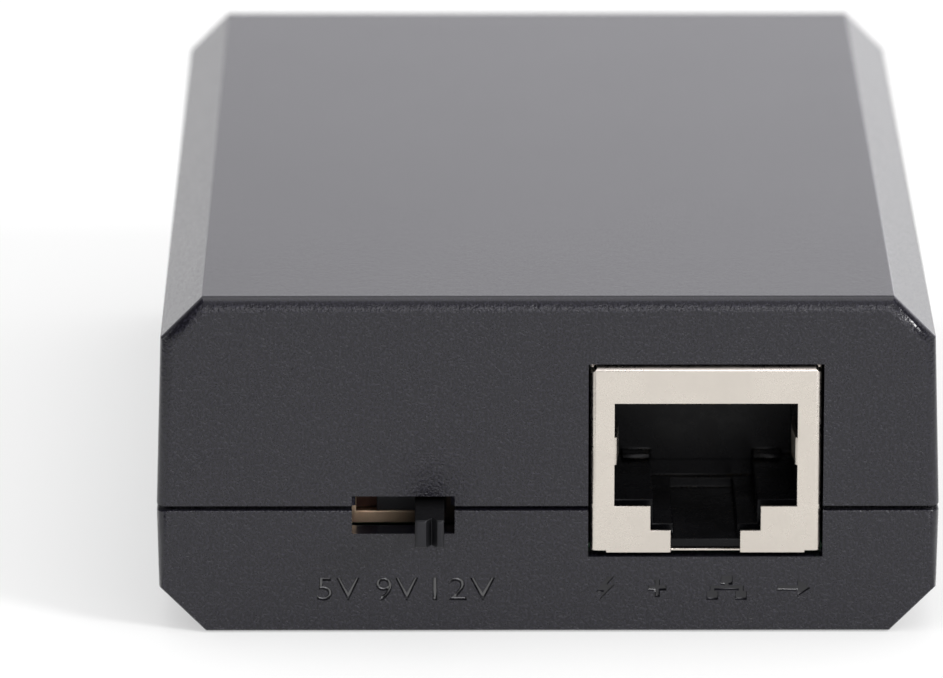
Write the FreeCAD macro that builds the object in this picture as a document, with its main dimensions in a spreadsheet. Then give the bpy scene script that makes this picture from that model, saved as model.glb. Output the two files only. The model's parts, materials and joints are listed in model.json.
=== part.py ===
"""Power over Ethernet splitter: a two-shell case with a shielded jack at each end, a DC outlet and a
three-position voltage switch, and the circuit board that carries them.

Millimetres. X runs across the case, Y from the switch end to the outlet end, Z up from the surface that the
case stands on. The origin is the centre of the footprint.
"""

import FreeCAD, Part
import os
import re
import Sketcher

Vector = FreeCAD.Vector

SIZES = {
    # Case
    "case_width": 54.0,
    "case_length": 80.8,
    "case_height": 24.0,
    "case_wall": 2.0,
    "parting_height": 9.0,
    "parting_gap": 0.28,
    "upper_chamfer": 2.9,
    "lower_chamfer": 3.2,
    "upper_draft": 0.35,
    "lower_draft": 0.1,
    "end_rounding": 0.8,
    "lip_thickness": 0.9,
    "lip_height": 1.4,
    "lip_gap": 0.1,
    "port_gap": 0.15,
    "port_gap_below": 0.3,
    "clearance": 1.0,
    "overlap": 0.3,
    "rib_thickness": 1.2,
    "rib_drop": 6.0,
    # Screws and their bosses
    "boss_radius": 2.6,
    "boss_bore_depth": 9.0,
    "post_radius": 3.6,
    "head_recess_radius": 2.8,
    "head_recess_depth": 1.9,
    "screw_radius": 1.3,
    "screw_gap": 0.15,
    "thread_gap": 0.03,
    "screw_length": 12.0,
    "screw_head_radius": 2.5,
    "screw_head_height": 1.6,
    "screw_recess_width": 0.7,
    "screw_recess_reach": 1.5,
    "screw_recess_depth": 0.9,
    # Circuit board
    "board_standoff": 2.2,
    "board_thickness": 1.6,
    "board_gap": 0.3,
    "lead_reach": 1.2,
    "lead_gap": 0.15,
    # Network jacks
    "jack_x": 10.88,
    "jack_width": 15.9,
    "jack_headroom": 2.8,
    "jack_depth": 16.4,
    "shield_sheet": 0.25,
    "shield_bend": 0.45,
    "shield_foot_step": 0.15,
    "shield_foot_inset": 1.1,
    "shield_corner_relief": 0.4,
    "shield_relief_length": 1.2,
    "mouth_width": 12.6,
    "mouth_brow": 2.68,
    "mouth_floor": 3.35,
    "mouth_step_width": 7.6,
    "mouth_step_floor": 1.6,
    "mouth_slot_width": 4.8,
    "mouth_finger_drop": 4.42,
    "mouth_finger_gap": 0.2,
    "mouth_finger_height": 2.0,
    "mouth_finger_reach": 0.16,
    "mouth_finger_length": 5.2,
    "shield_tab_width": 1.6,
    "shield_tab_y": 9.6,
    "shield_window_length": 4.2,
    "shield_window_height": 2.4,
    "under_lip_length": 1.4,
    "under_lip_setback": 0.1,
    "under_lip_rise": 0.12,
    "under_lip_sheet": 0.15,
    "moulding_gap": 0.05,
    "cavity_inset": 0.2,
    "cavity_floor_rise": 0.06,
    "cavity_depth": 12.3,
    "cavity_back": 0.5,
    "ledge_setback": 1.2,
    "channel_brow": 2.95,
    "channel_depth": 0.5,
    "plug_stop_width": 1.98,
    "plug_stop_height": 0.34,
    "plug_stop_length": 1.2,
    "latch_floor": 0.94,
    "chamber_half_width": 5.0,
    "chamber_floor": 3.4,
    "chamber_brow": 1.1,
    "comb_slot_width": 0.62,
    "comb_slot_brow": 1.5,
    "comb_front": 1.2,
    "finger_recess_depth": 0.6,
    "peg_radius": 1.5,
    "peg_spacing": 11.43,
    "peg_y": 7.6,
    "peg_reach": 1.0,
    "contact_pitch": 1.02,
    "contact_width": 0.42,
    "contact_thickness": 0.3,
    "contact_brow": 2.05,
    "contact_front": 2.0,
    "contact_drop": 1.1,
    "contact_slope": 14.0,
    "contact_end": 10.2,
    "contact_bend": 0.25,
    "contact_row": 13.35,
    "contact_row_pitch": 2.1,
    # DC outlet
    "outlet_x": -11.8,
    "outlet_width": 9.0,
    "outlet_height": 11.0,
    "outlet_depth": 14.0,
    "outlet_flange": 3.4,
    "outlet_body_inset": 0.3,
    "outlet_body_rounding": 3.8,
    "outlet_axis_height": 6.5,
    "outlet_bore_radius": 3.2,
    "outlet_bore_depth": 10.0,
    "outlet_pin_radius": 1.05,
    "outlet_pin_setback": 1.0,
    "outlet_pin_tip": 0.4,
    "outlet_shank_radius": 0.8,
    "outlet_pin_tail": 0.35,
    "outlet_spring_width": 2.0,
    "outlet_spring_front": 2.6,
    "outlet_spring_thickness": 0.35,
    "outlet_spring_back": 7.6,
    "outlet_spring_crown": 0.5,
    "outlet_terminal_width": 2.6,
    "outlet_terminal_thickness": 0.4,
    "outlet_terminal_margin": 0.6,
    # Voltage switch
    "switch_x": -10.16,
    "switch_setback": 4.5,
    "switch_axis_height": 2.73,
    "switch_frame_width": 12.4,
    "switch_frame_height": 3.9,
    "switch_frame_depth": 3.6,
    "switch_sheet": 0.3,
    "switch_leg_width": 1.0,
    "switch_base_thickness": 1.0,
    "switch_gap": 0.1,
    "switch_pitch": 2.0,
    "knob_width": 2.0,
    "knob_height": 2.0,
    "knob_reach": 4.5,
    "knob_groove_width": 0.8,
    "knob_groove_depth": 0.7,
    "knob_groove_shift": 0.15,
    "knob_edge": 0.15,
    "slider_plate_thickness": 1.1,
    "wiper_width": 0.9,
    "wiper_sheet": 0.15,
    "switch_terminal_width": 0.5,
    "switch_terminal_thickness": 0.3,
    "switch_terminal_reach": 0.6,
    "slot_width": 7.1,
    "slot_height": 2.7,
    "slot_shift": 0.18,
    "slot_flare": 0.25,
    # Transformer
    "core_width": 15.0,
    "core_half_length": 7.6,
    "core_height": 5.0,
    "core_leg": 2.0,
    "core_centre_leg": 4.0,
    "core_seat": 3.5,
    "winding_width": 10.4,
    "winding_height": 9.6,
    "winding_bevel": 1.0,
    "bobbin_wall": 0.5,
    "bobbin_gap": 0.1,
    "rail_height": 2.8,
    "rail_length": 3.0,
    "rail_width": 13.0,
    "rail_rise": 0.4,
    "transformer_pin_width": 0.6,
    "transformer_pin_pitch": 3.4,
    # Round parts
    "capacitor_radius": 4.0,
    "capacitor_height": 11.5,
    "capacitor_rise": 0.3,
    "capacitor_lead_pitch": 3.5,
    "lead_width": 0.5,
    "inductor_radius": 4.0,
    "inductor_height": 8.5,
    "inductor_flange": 0.9,
    "inductor_neck": 1.8,
    "coil_radius": 3.5,
    "disc_radius": 4.0,
    "disc_thickness": 3.2,
    "disc_rise": 1.4,
    "disc_lead_pitch": 5.0,
    # Chips
    "chip_rise": 0.1,
    "chip_edge": 0.12,
    "chip_lead_sheet": 0.2,
    "chip_lead_foot": 0.7,
}

# Chips: body across the leads, along them and up, then the leads of one side
CHIPS = {
    "lan_magnetics": {
        "width": 7.1, "length": 12.7, "height": 5.2, "lead_pitch": 1.27, "lead_width": 0.5, "lead_reach": 1.4},
    "bridge_rectifier_1": {
        "width": 3.9, "length": 4.7, "height": 2.5, "lead_pitch": 2.5, "lead_width": 0.6, "lead_reach": 1.4},
    "bridge_rectifier_2": {
        "width": 3.9, "length": 4.7, "height": 2.5, "lead_pitch": 2.5, "lead_width": 0.6, "lead_reach": 1.4},
    "power_device_controller": {
        "width": 3.9, "length": 4.9, "height": 1.6, "lead_pitch": 1.27, "lead_width": 0.42, "lead_reach": 1.1},
    "optocoupler": {
        "width": 4.4, "length": 4.6, "height": 2.2, "lead_pitch": 2.54, "lead_width": 0.5, "lead_reach": 1.3},
    "switching_transistor": {
        "width": 6.1, "length": 6.6, "height": 2.3, "lead_pitch": 4.6, "lead_width": 0.9, "lead_reach": 1.8},
    "output_diode": {
        "width": 5.9, "length": 6.9, "height": 2.4, "lead_pitch": 1.0, "lead_width": 3.0, "lead_reach": 1.1},
}
LEAD_COUNTS = {
    "lan_magnetics": 8,
    "bridge_rectifier_1": 2,
    "bridge_rectifier_2": 2,
    "power_device_controller": 4,
    "optocoupler": 2,
    "switching_transistor": 2,
    "output_diode": 1,
}

# Where things stand on the board, as shares of half the case's width and half its length
PLACES = {
    "screws": (0.763, 0.4455),
    "transformer": (-0.407, -0.161),
    "input_capacitor": (-0.574, -0.606),
    "output_capacitor_1": (-0.667, 0.208),
    "output_capacitor_2": (-0.304, 0.208),
    "inductor": (-0.185, 0.433),
    "safety_capacitor": (0.111, 0.384),
    "lan_magnetics": (0.415, -0.272),
    "bridge_rectifier_1": (-0.133, -0.668),
    "bridge_rectifier_2": (-0.133, -0.51),
    "power_device_controller": (0.044, -0.356),
    "optocoupler": (0.004, -0.149),
    "switching_transistor": (0.111, 0.111),
    "output_diode": (0.407, 0.309),
}

# Worked out from the sizes above, in the sheet too
FORMULAS = {
    "half_width": "case_width / 2",
    "half_length": "case_length / 2",
    "upper_rim": "parting_height + parting_gap / 2",
    "lower_rim": "parting_height - parting_gap / 2",
    "upper_shoulder": "half_width - upper_draft",
    "lower_shoulder": "half_width - lower_draft",
    "wall_turn": "case_wall * tan(22.5 deg)",
    "roof": "case_height - case_wall",
    "board_underside": "case_wall + board_standoff",
    "board_top": "board_underside + board_thickness",
    "lead_end": "board_thickness + lead_reach",
    "jack_height": "roof - board_top - jack_headroom",
    "mouth_top": "jack_height - mouth_brow",
    "mouth_finger_low": "mouth_top - mouth_finger_drop",
    "plug_half": "mouth_width / 2",
    "moulding_half": "jack_width / 2 - shield_sheet - moulding_gap",
    "moulding_foot": "shield_sheet + moulding_gap",
    "moulding_top": "jack_height - shield_sheet - moulding_gap",
    "contact_top": "jack_height - contact_brow",
    "switch_axis": "board_top + switch_axis_height",
    "switch_face": "switch_setback - half_length",
    "switch_travel": "2 * switch_pitch",
    "slider_plate_width": "switch_frame_width - 2 * switch_sheet - switch_travel - 4 * switch_gap",
    "core_middle": "core_seat + core_height / 2",
}

cells = dict(SIZES)
for chip_name, chip_sizes in CHIPS.items():
    for word, value in chip_sizes.items():
        cells[f"{chip_name}_{word}"] = value
for place_name, shares in PLACES.items():
    cells[f"{place_name}_across"], cells[f"{place_name}_along"] = shares
for word, formula in FORMULAS.items():
    cells[word] = f"={formula}"

doc = FreeCAD.newDocument("power_splitter")
sheet = doc.addObject("Spreadsheet::Sheet", "Sizes")
for row, (alias, value) in enumerate(cells.items(), start=1):
    sheet.set(f"A{row}", alias)
    sheet.setAlias(f"B{row}", alias)
for row, value in enumerate(cells.values(), start=1):
    sheet.set(f"B{row}", str(value))
doc.recompute()

# A sketch of many outlines is slow to solve
SLOTS_IN_A_SKETCH = 5

nodes = []
cuts = []
board_holes = []
board_slots = []


def tied(expression):
    """The expression with each size's name pointing at its cell."""
    def point(match):
        word = match.group()
        return f"Sizes.{word}" if word in cells else word
    return re.sub(r"[a-z_]+[a-z_0-9]*", point, expression)


def size(expression):
    """The number that an expression of sizes has now."""
    return float(sheet.evalExpression(expression))


def origin_item(body, role):
    return [item for item in body.Origin.OriginFeatures if item.Role == role][0]


def across(place):
    return f"half_width * {place}_across"


def along(place):
    return f"half_length * {place}_along"


def new_body(label, x="0", y="0", z="0", turned=False):
    """An empty body with its place in the case, half turned about Z for the outlet end."""
    body = doc.addObject("PartDesign::Body", label)
    body.Label = label
    if turned:
        body.Placement = FreeCAD.Placement(Vector(0, 0, 0), FreeCAD.Rotation(Vector(0, 0, 1), 180))
    for axis, expression in (("x", x), ("y", y), ("z", z)):
        body.setExpression(f"Placement.Base.{axis}", tied(expression))
    nodes.append(body)
    return body


def new_sketch(body, plane, at="0"):
    """A sketch on one of the body's own planes, moved along X, Y or Z to the given place."""
    sketch = body.newObject("Sketcher::SketchObject", "outline")
    sketch.AttachmentSupport = [(origin_item(body, plane), "")]
    sketch.MapMode = "FlatFace"
    sign = "-" if plane == "XZ_Plane" else ""
    sketch.setExpression("AttachmentOffset.Base.z", tied(f"{sign}({at})"))
    return sketch


def place_point(sketch, geometry, point, x, y):
    for kind, expression in (("DistanceX", x), ("DistanceY", y)):
        number = sketch.addConstraint(Sketcher.Constraint(kind, -1, 1, geometry, point, size(expression)))
        sketch.setExpression(f"Constraints[{number}]", tied(expression))


def draw_outline(sketch, corners):
    """A closed outline of straight lines, each corner tied to the sizes."""
    first = sketch.GeometryCount
    points = [Vector(size(x), size(y), 0) for x, y in corners]
    for start, end in zip(points, points[1:] + points[:1]):
        sketch.addGeometry(Part.LineSegment(start, end))
    for index, (x, y) in enumerate(corners):
        following = first + (index + 1) % len(corners)
        sketch.addConstraint(Sketcher.Constraint("Coincident", first + index, 2, following, 1))
        place_point(sketch, first + index, 1, x, y)


def draw_circle(sketch, x, y, radius):
    circle = Part.Circle(Vector(size(x), size(y), 0), Vector(0, 0, 1), size(radius))
    index = sketch.addGeometry(circle)
    place_point(sketch, index, 3, x, y)
    number = sketch.addConstraint(Sketcher.Constraint("Radius", index, size(radius)))
    sketch.setExpression(f"Constraints[{number}]", tied(radius))


def rectangle(x_low, x_high, y_low, y_high):
    return [(x_low, y_low), (x_high, y_low), (x_high, y_high), (x_low, y_high)]


def square_at(x, y, half):
    return rectangle(f"{x} - {half}", f"{x} + {half}", f"{y} - {half}", f"{y} + {half}")


def centred(half_x, half_y):
    return rectangle(f"-({half_x})", half_x, f"-({half_y})", half_y)


def both_sides(right):
    """A symmetric outline from its right half, listed from the bottom up."""
    return right + [(f"-({x})", y) for x, y in reversed(right)]


def outline_sketch(body, plane, at, *outlines):
    sketch = new_sketch(body, plane, at)
    for corners in outlines:
        draw_outline(sketch, corners)
    return sketch


def circle_sketch(body, plane, at, circles):
    sketch = new_sketch(body, plane, at)
    for x, y, radius in circles:
        draw_circle(sketch, x, y, radius)
    return sketch


def extrude(body, kind, label, sketch, length, reverse, middle):
    feature = body.newObject(f"PartDesign::{kind}", label)
    feature.Profile = sketch
    feature.setExpression("Length", tied(length))
    feature.Reversed = reverse
    feature.Midplane = middle
    return feature


def pad(body, label, sketch, length, forward=True, middle=False):
    """Adds material towards +X, +Y or +Z of the body, or the other way."""
    against = "XZ" in sketch.AttachmentSupport[0][0].Role
    return extrude(body, "Pad", label, sketch, length, against == forward, middle)


def pocket(body, label, sketch, length, forward=True, middle=False):
    """Cuts towards +X, +Y or +Z of the body, or the other way."""
    against = "XZ" in sketch.AttachmentSupport[0][0].Role
    feature = extrude(body, "Pocket", label, sketch, length, against != forward, middle)
    cuts.append(feature)
    return feature


def revolve(body, label, corners):
    """A solid of revolution about Z from its half outline in X and Z."""
    sketch = outline_sketch(body, "XZ_Plane", "0", corners)
    feature = body.newObject("PartDesign::Revolution", label)
    feature.Profile = sketch
    feature.ReferenceAxis = (sketch, ["V_Axis"])
    feature.Angle = 360
    return feature


def round_edges(body, label, base, radius, wanted):
    """Rounds those edges of a feature that the test picks."""
    doc.recompute()
    names = [f"Edge{n}" for n, edge in enumerate(base.Shape.Edges, start=1) if wanted(edge)]
    feature = body.newObject("PartDesign::Fillet", label)
    feature.Base = (base, names)
    feature.setExpression("Radius", tied(radius))
    return feature


def bevel_edges(body, label, base, width, wanted):
    doc.recompute()
    names = [f"Edge{n}" for n, edge in enumerate(base.Shape.Edges, start=1) if wanted(edge)]
    feature = body.newObject("PartDesign::Chamfer", label)
    feature.Base = (base, names)
    feature.setExpression("Size", tied(width))
    return feature


def near(a, b):
    return abs(a - b) < 1e-4


def lies_at(edge, axis, *places):
    """Whether the whole edge lies in one of the planes across an axis."""
    ends = [getattr(vertex.Point, axis) for vertex in edge.Vertexes]
    return any(all(near(end, place) for end in ends) for place in places)


def runs_along(edge, axis):
    start, end = edge.Vertexes[0].Point, edge.Vertexes[-1].Point
    others = [name for name in "xyz" if name != axis]
    return all(near(getattr(start, name), getattr(end, name)) for name in others)


def repeat(body, label, features, axis, length, count):
    pattern = body.newObject("PartDesign::LinearPattern", label)
    pattern.Originals = features
    pattern.Direction = (origin_item(body, axis), [""])
    pattern.setExpression("Length", tied(length))
    pattern.Occurrences = count
    body.Tip = pattern


def mirror(body, label, features, plane):
    mirrored = body.newObject("PartDesign::Mirrored", label)
    mirrored.Originals = features
    mirrored.MirrorPlane = (origin_item(body, plane), [""])
    body.Tip = mirrored


def screw_places():
    return [(f"{a}({across('screws')})", f"{b}({along('screws')})") for a in ("-", "") for b in ("-", "")]


def at_screws(radius):
    return [(x, y, radius) for x, y in screw_places()]


# The case


def round_case(body, block):
    """Rounds the rims of a shell's two ends, but not its parting edge."""
    half_length = size("half_length")
    rims = (size("upper_rim"), size("lower_rim"))
    round_edges(
        body, "end_rims", block, "end_rounding",
        lambda edge: lies_at(edge, "y", half_length, -half_length) and not lies_at(edge, "z", *rims))


def cut_port(body, label, x, half_width, low, high, front):
    """A window through an end wall for what stands behind it."""
    outline = rectangle(f"{x} - {half_width}", f"{x} + {half_width}", low, high)
    at = "-half_length - clearance" if front else "half_length + clearance"
    sketch = outline_sketch(body, "XZ_Plane", at, outline)
    pocket(body, label, sketch, "case_wall + clearance + overlap", forward=front)


def cut_ports(body):
    """The windows that both shells share across the parting line."""
    low = "board_top - port_gap_below"
    jack_top = "board_top + jack_height + port_gap"
    outlet_top = "board_top + outlet_height + port_gap"
    cut_port(body, "input_window", "jack_x", "(jack_width / 2 + port_gap)", low, jack_top, True)
    cut_port(body, "output_window", "jack_x", "(jack_width / 2 + port_gap)", low, jack_top, False)
    cut_port(body, "outlet_window", "outlet_x", "(outlet_width / 2 + port_gap)", low, outlet_top, False)


def make_upper_shell():
    body = new_body("upper_shell")
    outer = both_sides([
        ("half_width", "upper_rim"),
        ("upper_shoulder", "case_height - upper_chamfer"),
        ("upper_shoulder - upper_chamfer", "case_height"),
    ])
    block = pad(body, "block", outline_sketch(body, "XZ_Plane", "0", outer), "case_length", middle=True)
    round_case(body, block)
    inner_shoulder = "case_height - upper_chamfer - wall_turn"
    inner_roof_edge = "upper_shoulder - upper_chamfer - wall_turn"
    inner = both_sides([
        ("half_width - case_wall", "upper_rim - clearance"),
        ("upper_shoulder - case_wall", inner_shoulder),
        (inner_roof_edge, "roof"),
    ])
    sketch = outline_sketch(body, "XZ_Plane", "0", inner)
    pocket(body, "cavity", sketch, "case_length - 2 * case_wall", middle=True)
    rebate = centred(
        "half_width - case_wall + lip_thickness + lip_gap",
        "half_length - case_wall + lip_thickness + lip_gap")
    pocket(body, "lip_rebate", outline_sketch(body, "XY_Plane", "upper_rim", rebate), "lip_height + lip_gap")

    # Four bosses stand down from the roof onto the board, each with a rib to the side wall
    bosses = circle_sketch(body, "XY_Plane", "board_top", at_screws("boss_radius"))
    pad(body, "bosses", bosses, "roof - board_top + overlap")
    rib_root = f"{across('screws')} + boss_radius / 2"
    rib = [
        (rib_root, "roof - rib_drop"),
        ("upper_shoulder - case_wall + overlap", "roof - rib_drop"),
        ("upper_shoulder - case_wall + overlap", inner_shoulder),
        (inner_roof_edge, "roof + overlap"),
        (rib_root, "roof + overlap"),
    ]
    other_rib = [(f"-({x})", y) for x, y in rib]
    for name, sign in (("front_ribs", "-"), ("back_ribs", "")):
        sketch = outline_sketch(body, "XZ_Plane", f"{sign}({along('screws')})", rib, other_rib)
        pad(body, name, sketch, "rib_thickness", middle=True)
    bores = circle_sketch(body, "XY_Plane", "board_top", at_screws("screw_radius + thread_gap"))
    pocket(body, "screw_bores", bores, "boss_bore_depth")
    cut_ports(body)

    # The upper part of the switch slot flares to the face at both ends
    face = "-half_length"
    half_slot = "slot_width / 2"
    middle = "switch_x + slot_shift"
    inside = f"{face} + case_wall + overlap"
    slot = [
        (f"{middle} - {half_slot}", f"{face} - clearance"),
        (f"{middle} - {half_slot}", face),
        (f"{middle} - {half_slot} + slot_flare", f"{face} + slot_flare"),
        (f"{middle} - {half_slot} + slot_flare", inside),
        (f"{middle} + {half_slot} - slot_flare", inside),
        (f"{middle} + {half_slot} - slot_flare", f"{face} + slot_flare"),
        (f"{middle} + {half_slot}", face),
        (f"{middle} + {half_slot}", f"{face} - clearance"),
    ]
    sketch = outline_sketch(body, "XY_Plane", "switch_axis + slot_height / 2", slot)
    pocket(body, "switch_slot", sketch, "slot_height", forward=False)


def make_lower_shell():
    body = new_body("lower_shell")
    outer = both_sides([
        ("lower_shoulder - lower_chamfer", "0"),
        ("lower_shoulder", "lower_chamfer"),
        ("half_width", "lower_rim"),
    ])
    block = pad(body, "block", outline_sketch(body, "XZ_Plane", "0", outer), "case_length", middle=True)
    round_case(body, block)
    inner = both_sides([
        ("lower_shoulder - lower_chamfer - wall_turn", "case_wall"),
        ("lower_shoulder - case_wall", "lower_chamfer + wall_turn"),
        ("half_width - case_wall", "lower_rim + clearance"),
    ])
    sketch = outline_sketch(body, "XZ_Plane", "0", inner)
    pocket(body, "cavity", sketch, "case_length - 2 * case_wall", middle=True)

    # The lip stands inside the upper shell's rebate
    lip = outline_sketch(
        body, "XY_Plane", "lower_rim",
        centred("half_width - case_wall + lip_thickness", "half_length - case_wall + lip_thickness"),
        centred("half_width - case_wall", "half_length - case_wall"))
    pad(body, "lip", lip, "parting_gap + lip_height")

    # Four posts carry the board and take the screws
    posts = circle_sketch(body, "XY_Plane", "case_wall - overlap", at_screws("post_radius"))
    pad(body, "posts", posts, "board_standoff + overlap")
    holes = circle_sketch(body, "XY_Plane", "board_underside", at_screws("screw_radius + screw_gap"))
    pocket(body, "screw_holes", holes, "board_underside + clearance", forward=False)
    recesses = circle_sketch(body, "XY_Plane", "0", at_screws("head_recess_radius"))
    pocket(body, "head_recesses", recesses, "head_recess_depth")
    cut_ports(body)
    low = "switch_axis - slot_height / 2"
    high = "switch_axis + slot_height"
    cut_port(body, "switch_slot", "(switch_x + slot_shift)", "(slot_width / 2)", low, high, True)


def make_case_screws():
    """Four pan-head screws with a cross recess, driven up from the underside."""
    arm, reach = "screw_recess_width / 2", "screw_recess_reach"
    cross = [
        (arm, f"-({reach})"), (arm, f"-({arm})"), (reach, f"-({arm})"),
        (reach, arm), (arm, arm), (arm, reach),
    ]
    cross += [(f"-({x})", f"-({y})") for x, y in cross]
    for number, (x, y) in enumerate(screw_places(), start=1):
        body = new_body(f"case_screw_{number}", x, y, "head_recess_depth")
        revolve(body, "turned", [
            ("0", "-screw_head_height"),
            ("screw_head_radius", "-screw_head_height"),
            ("screw_head_radius", "0"),
            ("screw_radius", "0"),
            ("screw_radius", "screw_length"),
            ("0", "screw_length"),
        ])
        sketch = outline_sketch(body, "XY_Plane", "-screw_head_height", cross)
        pocket(body, "cross_recess", sketch, "screw_recess_depth")


def drill_board(x, y, radius):
    """Asks for a round hole in the board for a peg of the given radius."""
    board_holes.append((x, y, f"{radius} + lead_gap"))


def slot_board(x, y, width, length):
    """Asks for a slot in the board for a flat or square lead of the given width and length."""
    half_x, half_y = f"(({width}) / 2 + lead_gap)", f"(({length}) / 2 + lead_gap)"
    board_slots.append(rectangle(f"{x} - {half_x}", f"{x} + {half_x}", f"{y} - {half_y}", f"{y} + {half_y}"))


def make_circuit_board():
    body = new_body("circuit_board", z="board_underside")
    outline = centred(
        "half_width - case_wall - board_gap - lower_draft", "half_length - case_wall - board_gap")
    pad(body, "panel", outline_sketch(body, "XY_Plane", "0", outline), "board_thickness")
    holes = at_screws("screw_radius + screw_gap") + board_holes
    sketch = circle_sketch(body, "XY_Plane", "-clearance", holes)
    pocket(body, "holes", sketch, "board_thickness + 2 * clearance")
    for first in range(0, len(board_slots), SLOTS_IN_A_SKETCH):
        group = board_slots[first:first + SLOTS_IN_A_SKETCH]
        sketch = outline_sketch(body, "XY_Plane", "-clearance", *group)
        pocket(body, "slots", sketch, "board_thickness + 2 * clearance")


# A network jack, drawn with its face at y = 0, its board side at z = 0 and its depth towards +Y


def jack_mouth(inset, floor_rise, slot_floor):
    """The stepped mouth of the jack: plug space, latch step and latch slot, the last two inset."""
    return both_sides([
        (f"mouth_slot_width / 2 - {inset}", slot_floor),
        (f"mouth_slot_width / 2 - {inset}", f"mouth_step_floor + {floor_rise}"),
        (f"mouth_step_width / 2 - {inset}", f"mouth_step_floor + {floor_rise}"),
        (f"mouth_step_width / 2 - {inset}", f"mouth_floor + {floor_rise}"),
        ("mouth_width / 2", f"mouth_floor + {floor_rise}"),
        ("mouth_width / 2", f"mouth_top - {inset}"),
    ])


def make_jack_shield(label, place):
    """Folded sheet: face with the mouth, sides, roof and back, two board tabs and two plug fingers."""
    body = new_body(label, *place)
    half = "jack_width / 2"
    outline = both_sides([
        (f"{half} - shield_foot_inset", "0"),
        (f"{half} - shield_foot_inset", "shield_foot_step"),
        (half, "shield_foot_step"),
        (half, "jack_height"),
    ])
    block = pad(body, "block", outline_sketch(body, "XZ_Plane", "0", outline), "jack_depth")
    height, half_width = size("jack_height"), size(half)

    def is_fold(edge):
        on_side = lies_at(edge, "x", half_width, -half_width)
        on_roof = lies_at(edge, "z", height)
        return lies_at(edge, "y", 0) and (on_side or on_roof)

    round_edges(body, "folds", block, "shield_bend", is_fold)
    hollow = rectangle(
        f"shield_sheet - {half}", f"{half} - shield_sheet", "-clearance", "jack_height - shield_sheet")
    sketch = outline_sketch(body, "XZ_Plane", "shield_sheet", hollow)
    pocket(body, "hollow", sketch, "jack_depth - 2 * shield_sheet")
    sketch = outline_sketch(body, "XZ_Plane", "-clearance", jack_mouth("0", "0", "-clearance"))
    pocket(body, "mouth", sketch, "shield_sheet + clearance")

    # Small gaps where the roof and side folds meet at the two upper corners
    relief = [
        (f"{half} - shield_corner_relief", "jack_height + clearance"),
        (f"{half} - shield_corner_relief", "jack_height - shield_corner_relief / 2"),
        (f"{half} - shield_corner_relief / 2", "jack_height - shield_corner_relief"),
        (f"{half} + clearance", "jack_height - shield_corner_relief"),
        (f"{half} + clearance", "jack_height + clearance"),
    ]
    other_relief = [(f"-({x})", y) for x, y in relief]
    sketch = outline_sketch(body, "XZ_Plane", "-clearance", relief, other_relief)
    pocket(body, "corner_reliefs", sketch, "shield_relief_length + clearance")

    # A lock window in each side
    window = rectangle(
        "shield_tab_y - shield_window_length / 2", "shield_tab_y + shield_window_length / 2",
        "mouth_floor", "mouth_floor + shield_window_height")
    sketch = outline_sketch(body, "YZ_Plane", f"-({half}) - clearance", window)
    pocket(body, "lock_windows", sketch, "jack_width + 2 * clearance")

    # The tab under each side goes through the board
    tab = rectangle(
        "shield_tab_y - shield_tab_width / 2", "shield_tab_y + shield_tab_width / 2",
        "-lead_end", "shield_foot_step + overlap")
    tab_pad = pad(
        body, "tab", outline_sketch(body, "YZ_Plane", f"{half} - shield_sheet", tab), "shield_sheet")
    mirror(body, "tabs", [tab_pad], "YZ_Plane")

    # A spring finger folds back into each side of the mouth
    mouth_half = "mouth_width / 2"
    finger = [
        (mouth_half, "0"),
        (f"{mouth_half} - mouth_finger_reach", "shield_sheet / 2"),
        (f"{mouth_half} - mouth_finger_reach * 2", "mouth_finger_length * 0.6"),
        (f"{mouth_half} - mouth_finger_reach", "mouth_finger_length"),
        (f"{mouth_half} - mouth_finger_reach + shield_sheet", "mouth_finger_length"),
        (f"{mouth_half} - mouth_finger_reach * 2 + shield_sheet", "mouth_finger_length * 0.6"),
        (f"{mouth_half} + overlap", "shield_sheet"),
        (f"{mouth_half} + overlap", "0"),
    ]
    finger_pad = pad(
        body, "finger", outline_sketch(body, "XY_Plane", "mouth_finger_low", finger),
        "mouth_finger_height")
    mirror(body, "fingers", [finger_pad], "YZ_Plane")

    # A lip of sheet turns in under the latch slot
    lip = rectangle(
        "-mouth_step_width / 2", "mouth_step_width / 2", "under_lip_rise", "under_lip_rise + under_lip_sheet")
    sketch = outline_sketch(body, "XZ_Plane", "under_lip_setback", lip)
    body.Tip = pad(body, "under_lip", sketch, "under_lip_length")


def contact_x(number):
    return f"contact_pitch * {number - 4.5}"


def contact_row(number):
    """Contacts go down in two rows in turn."""
    return "contact_row" if number % 2 else "(contact_row + contact_row_pitch)"


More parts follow.
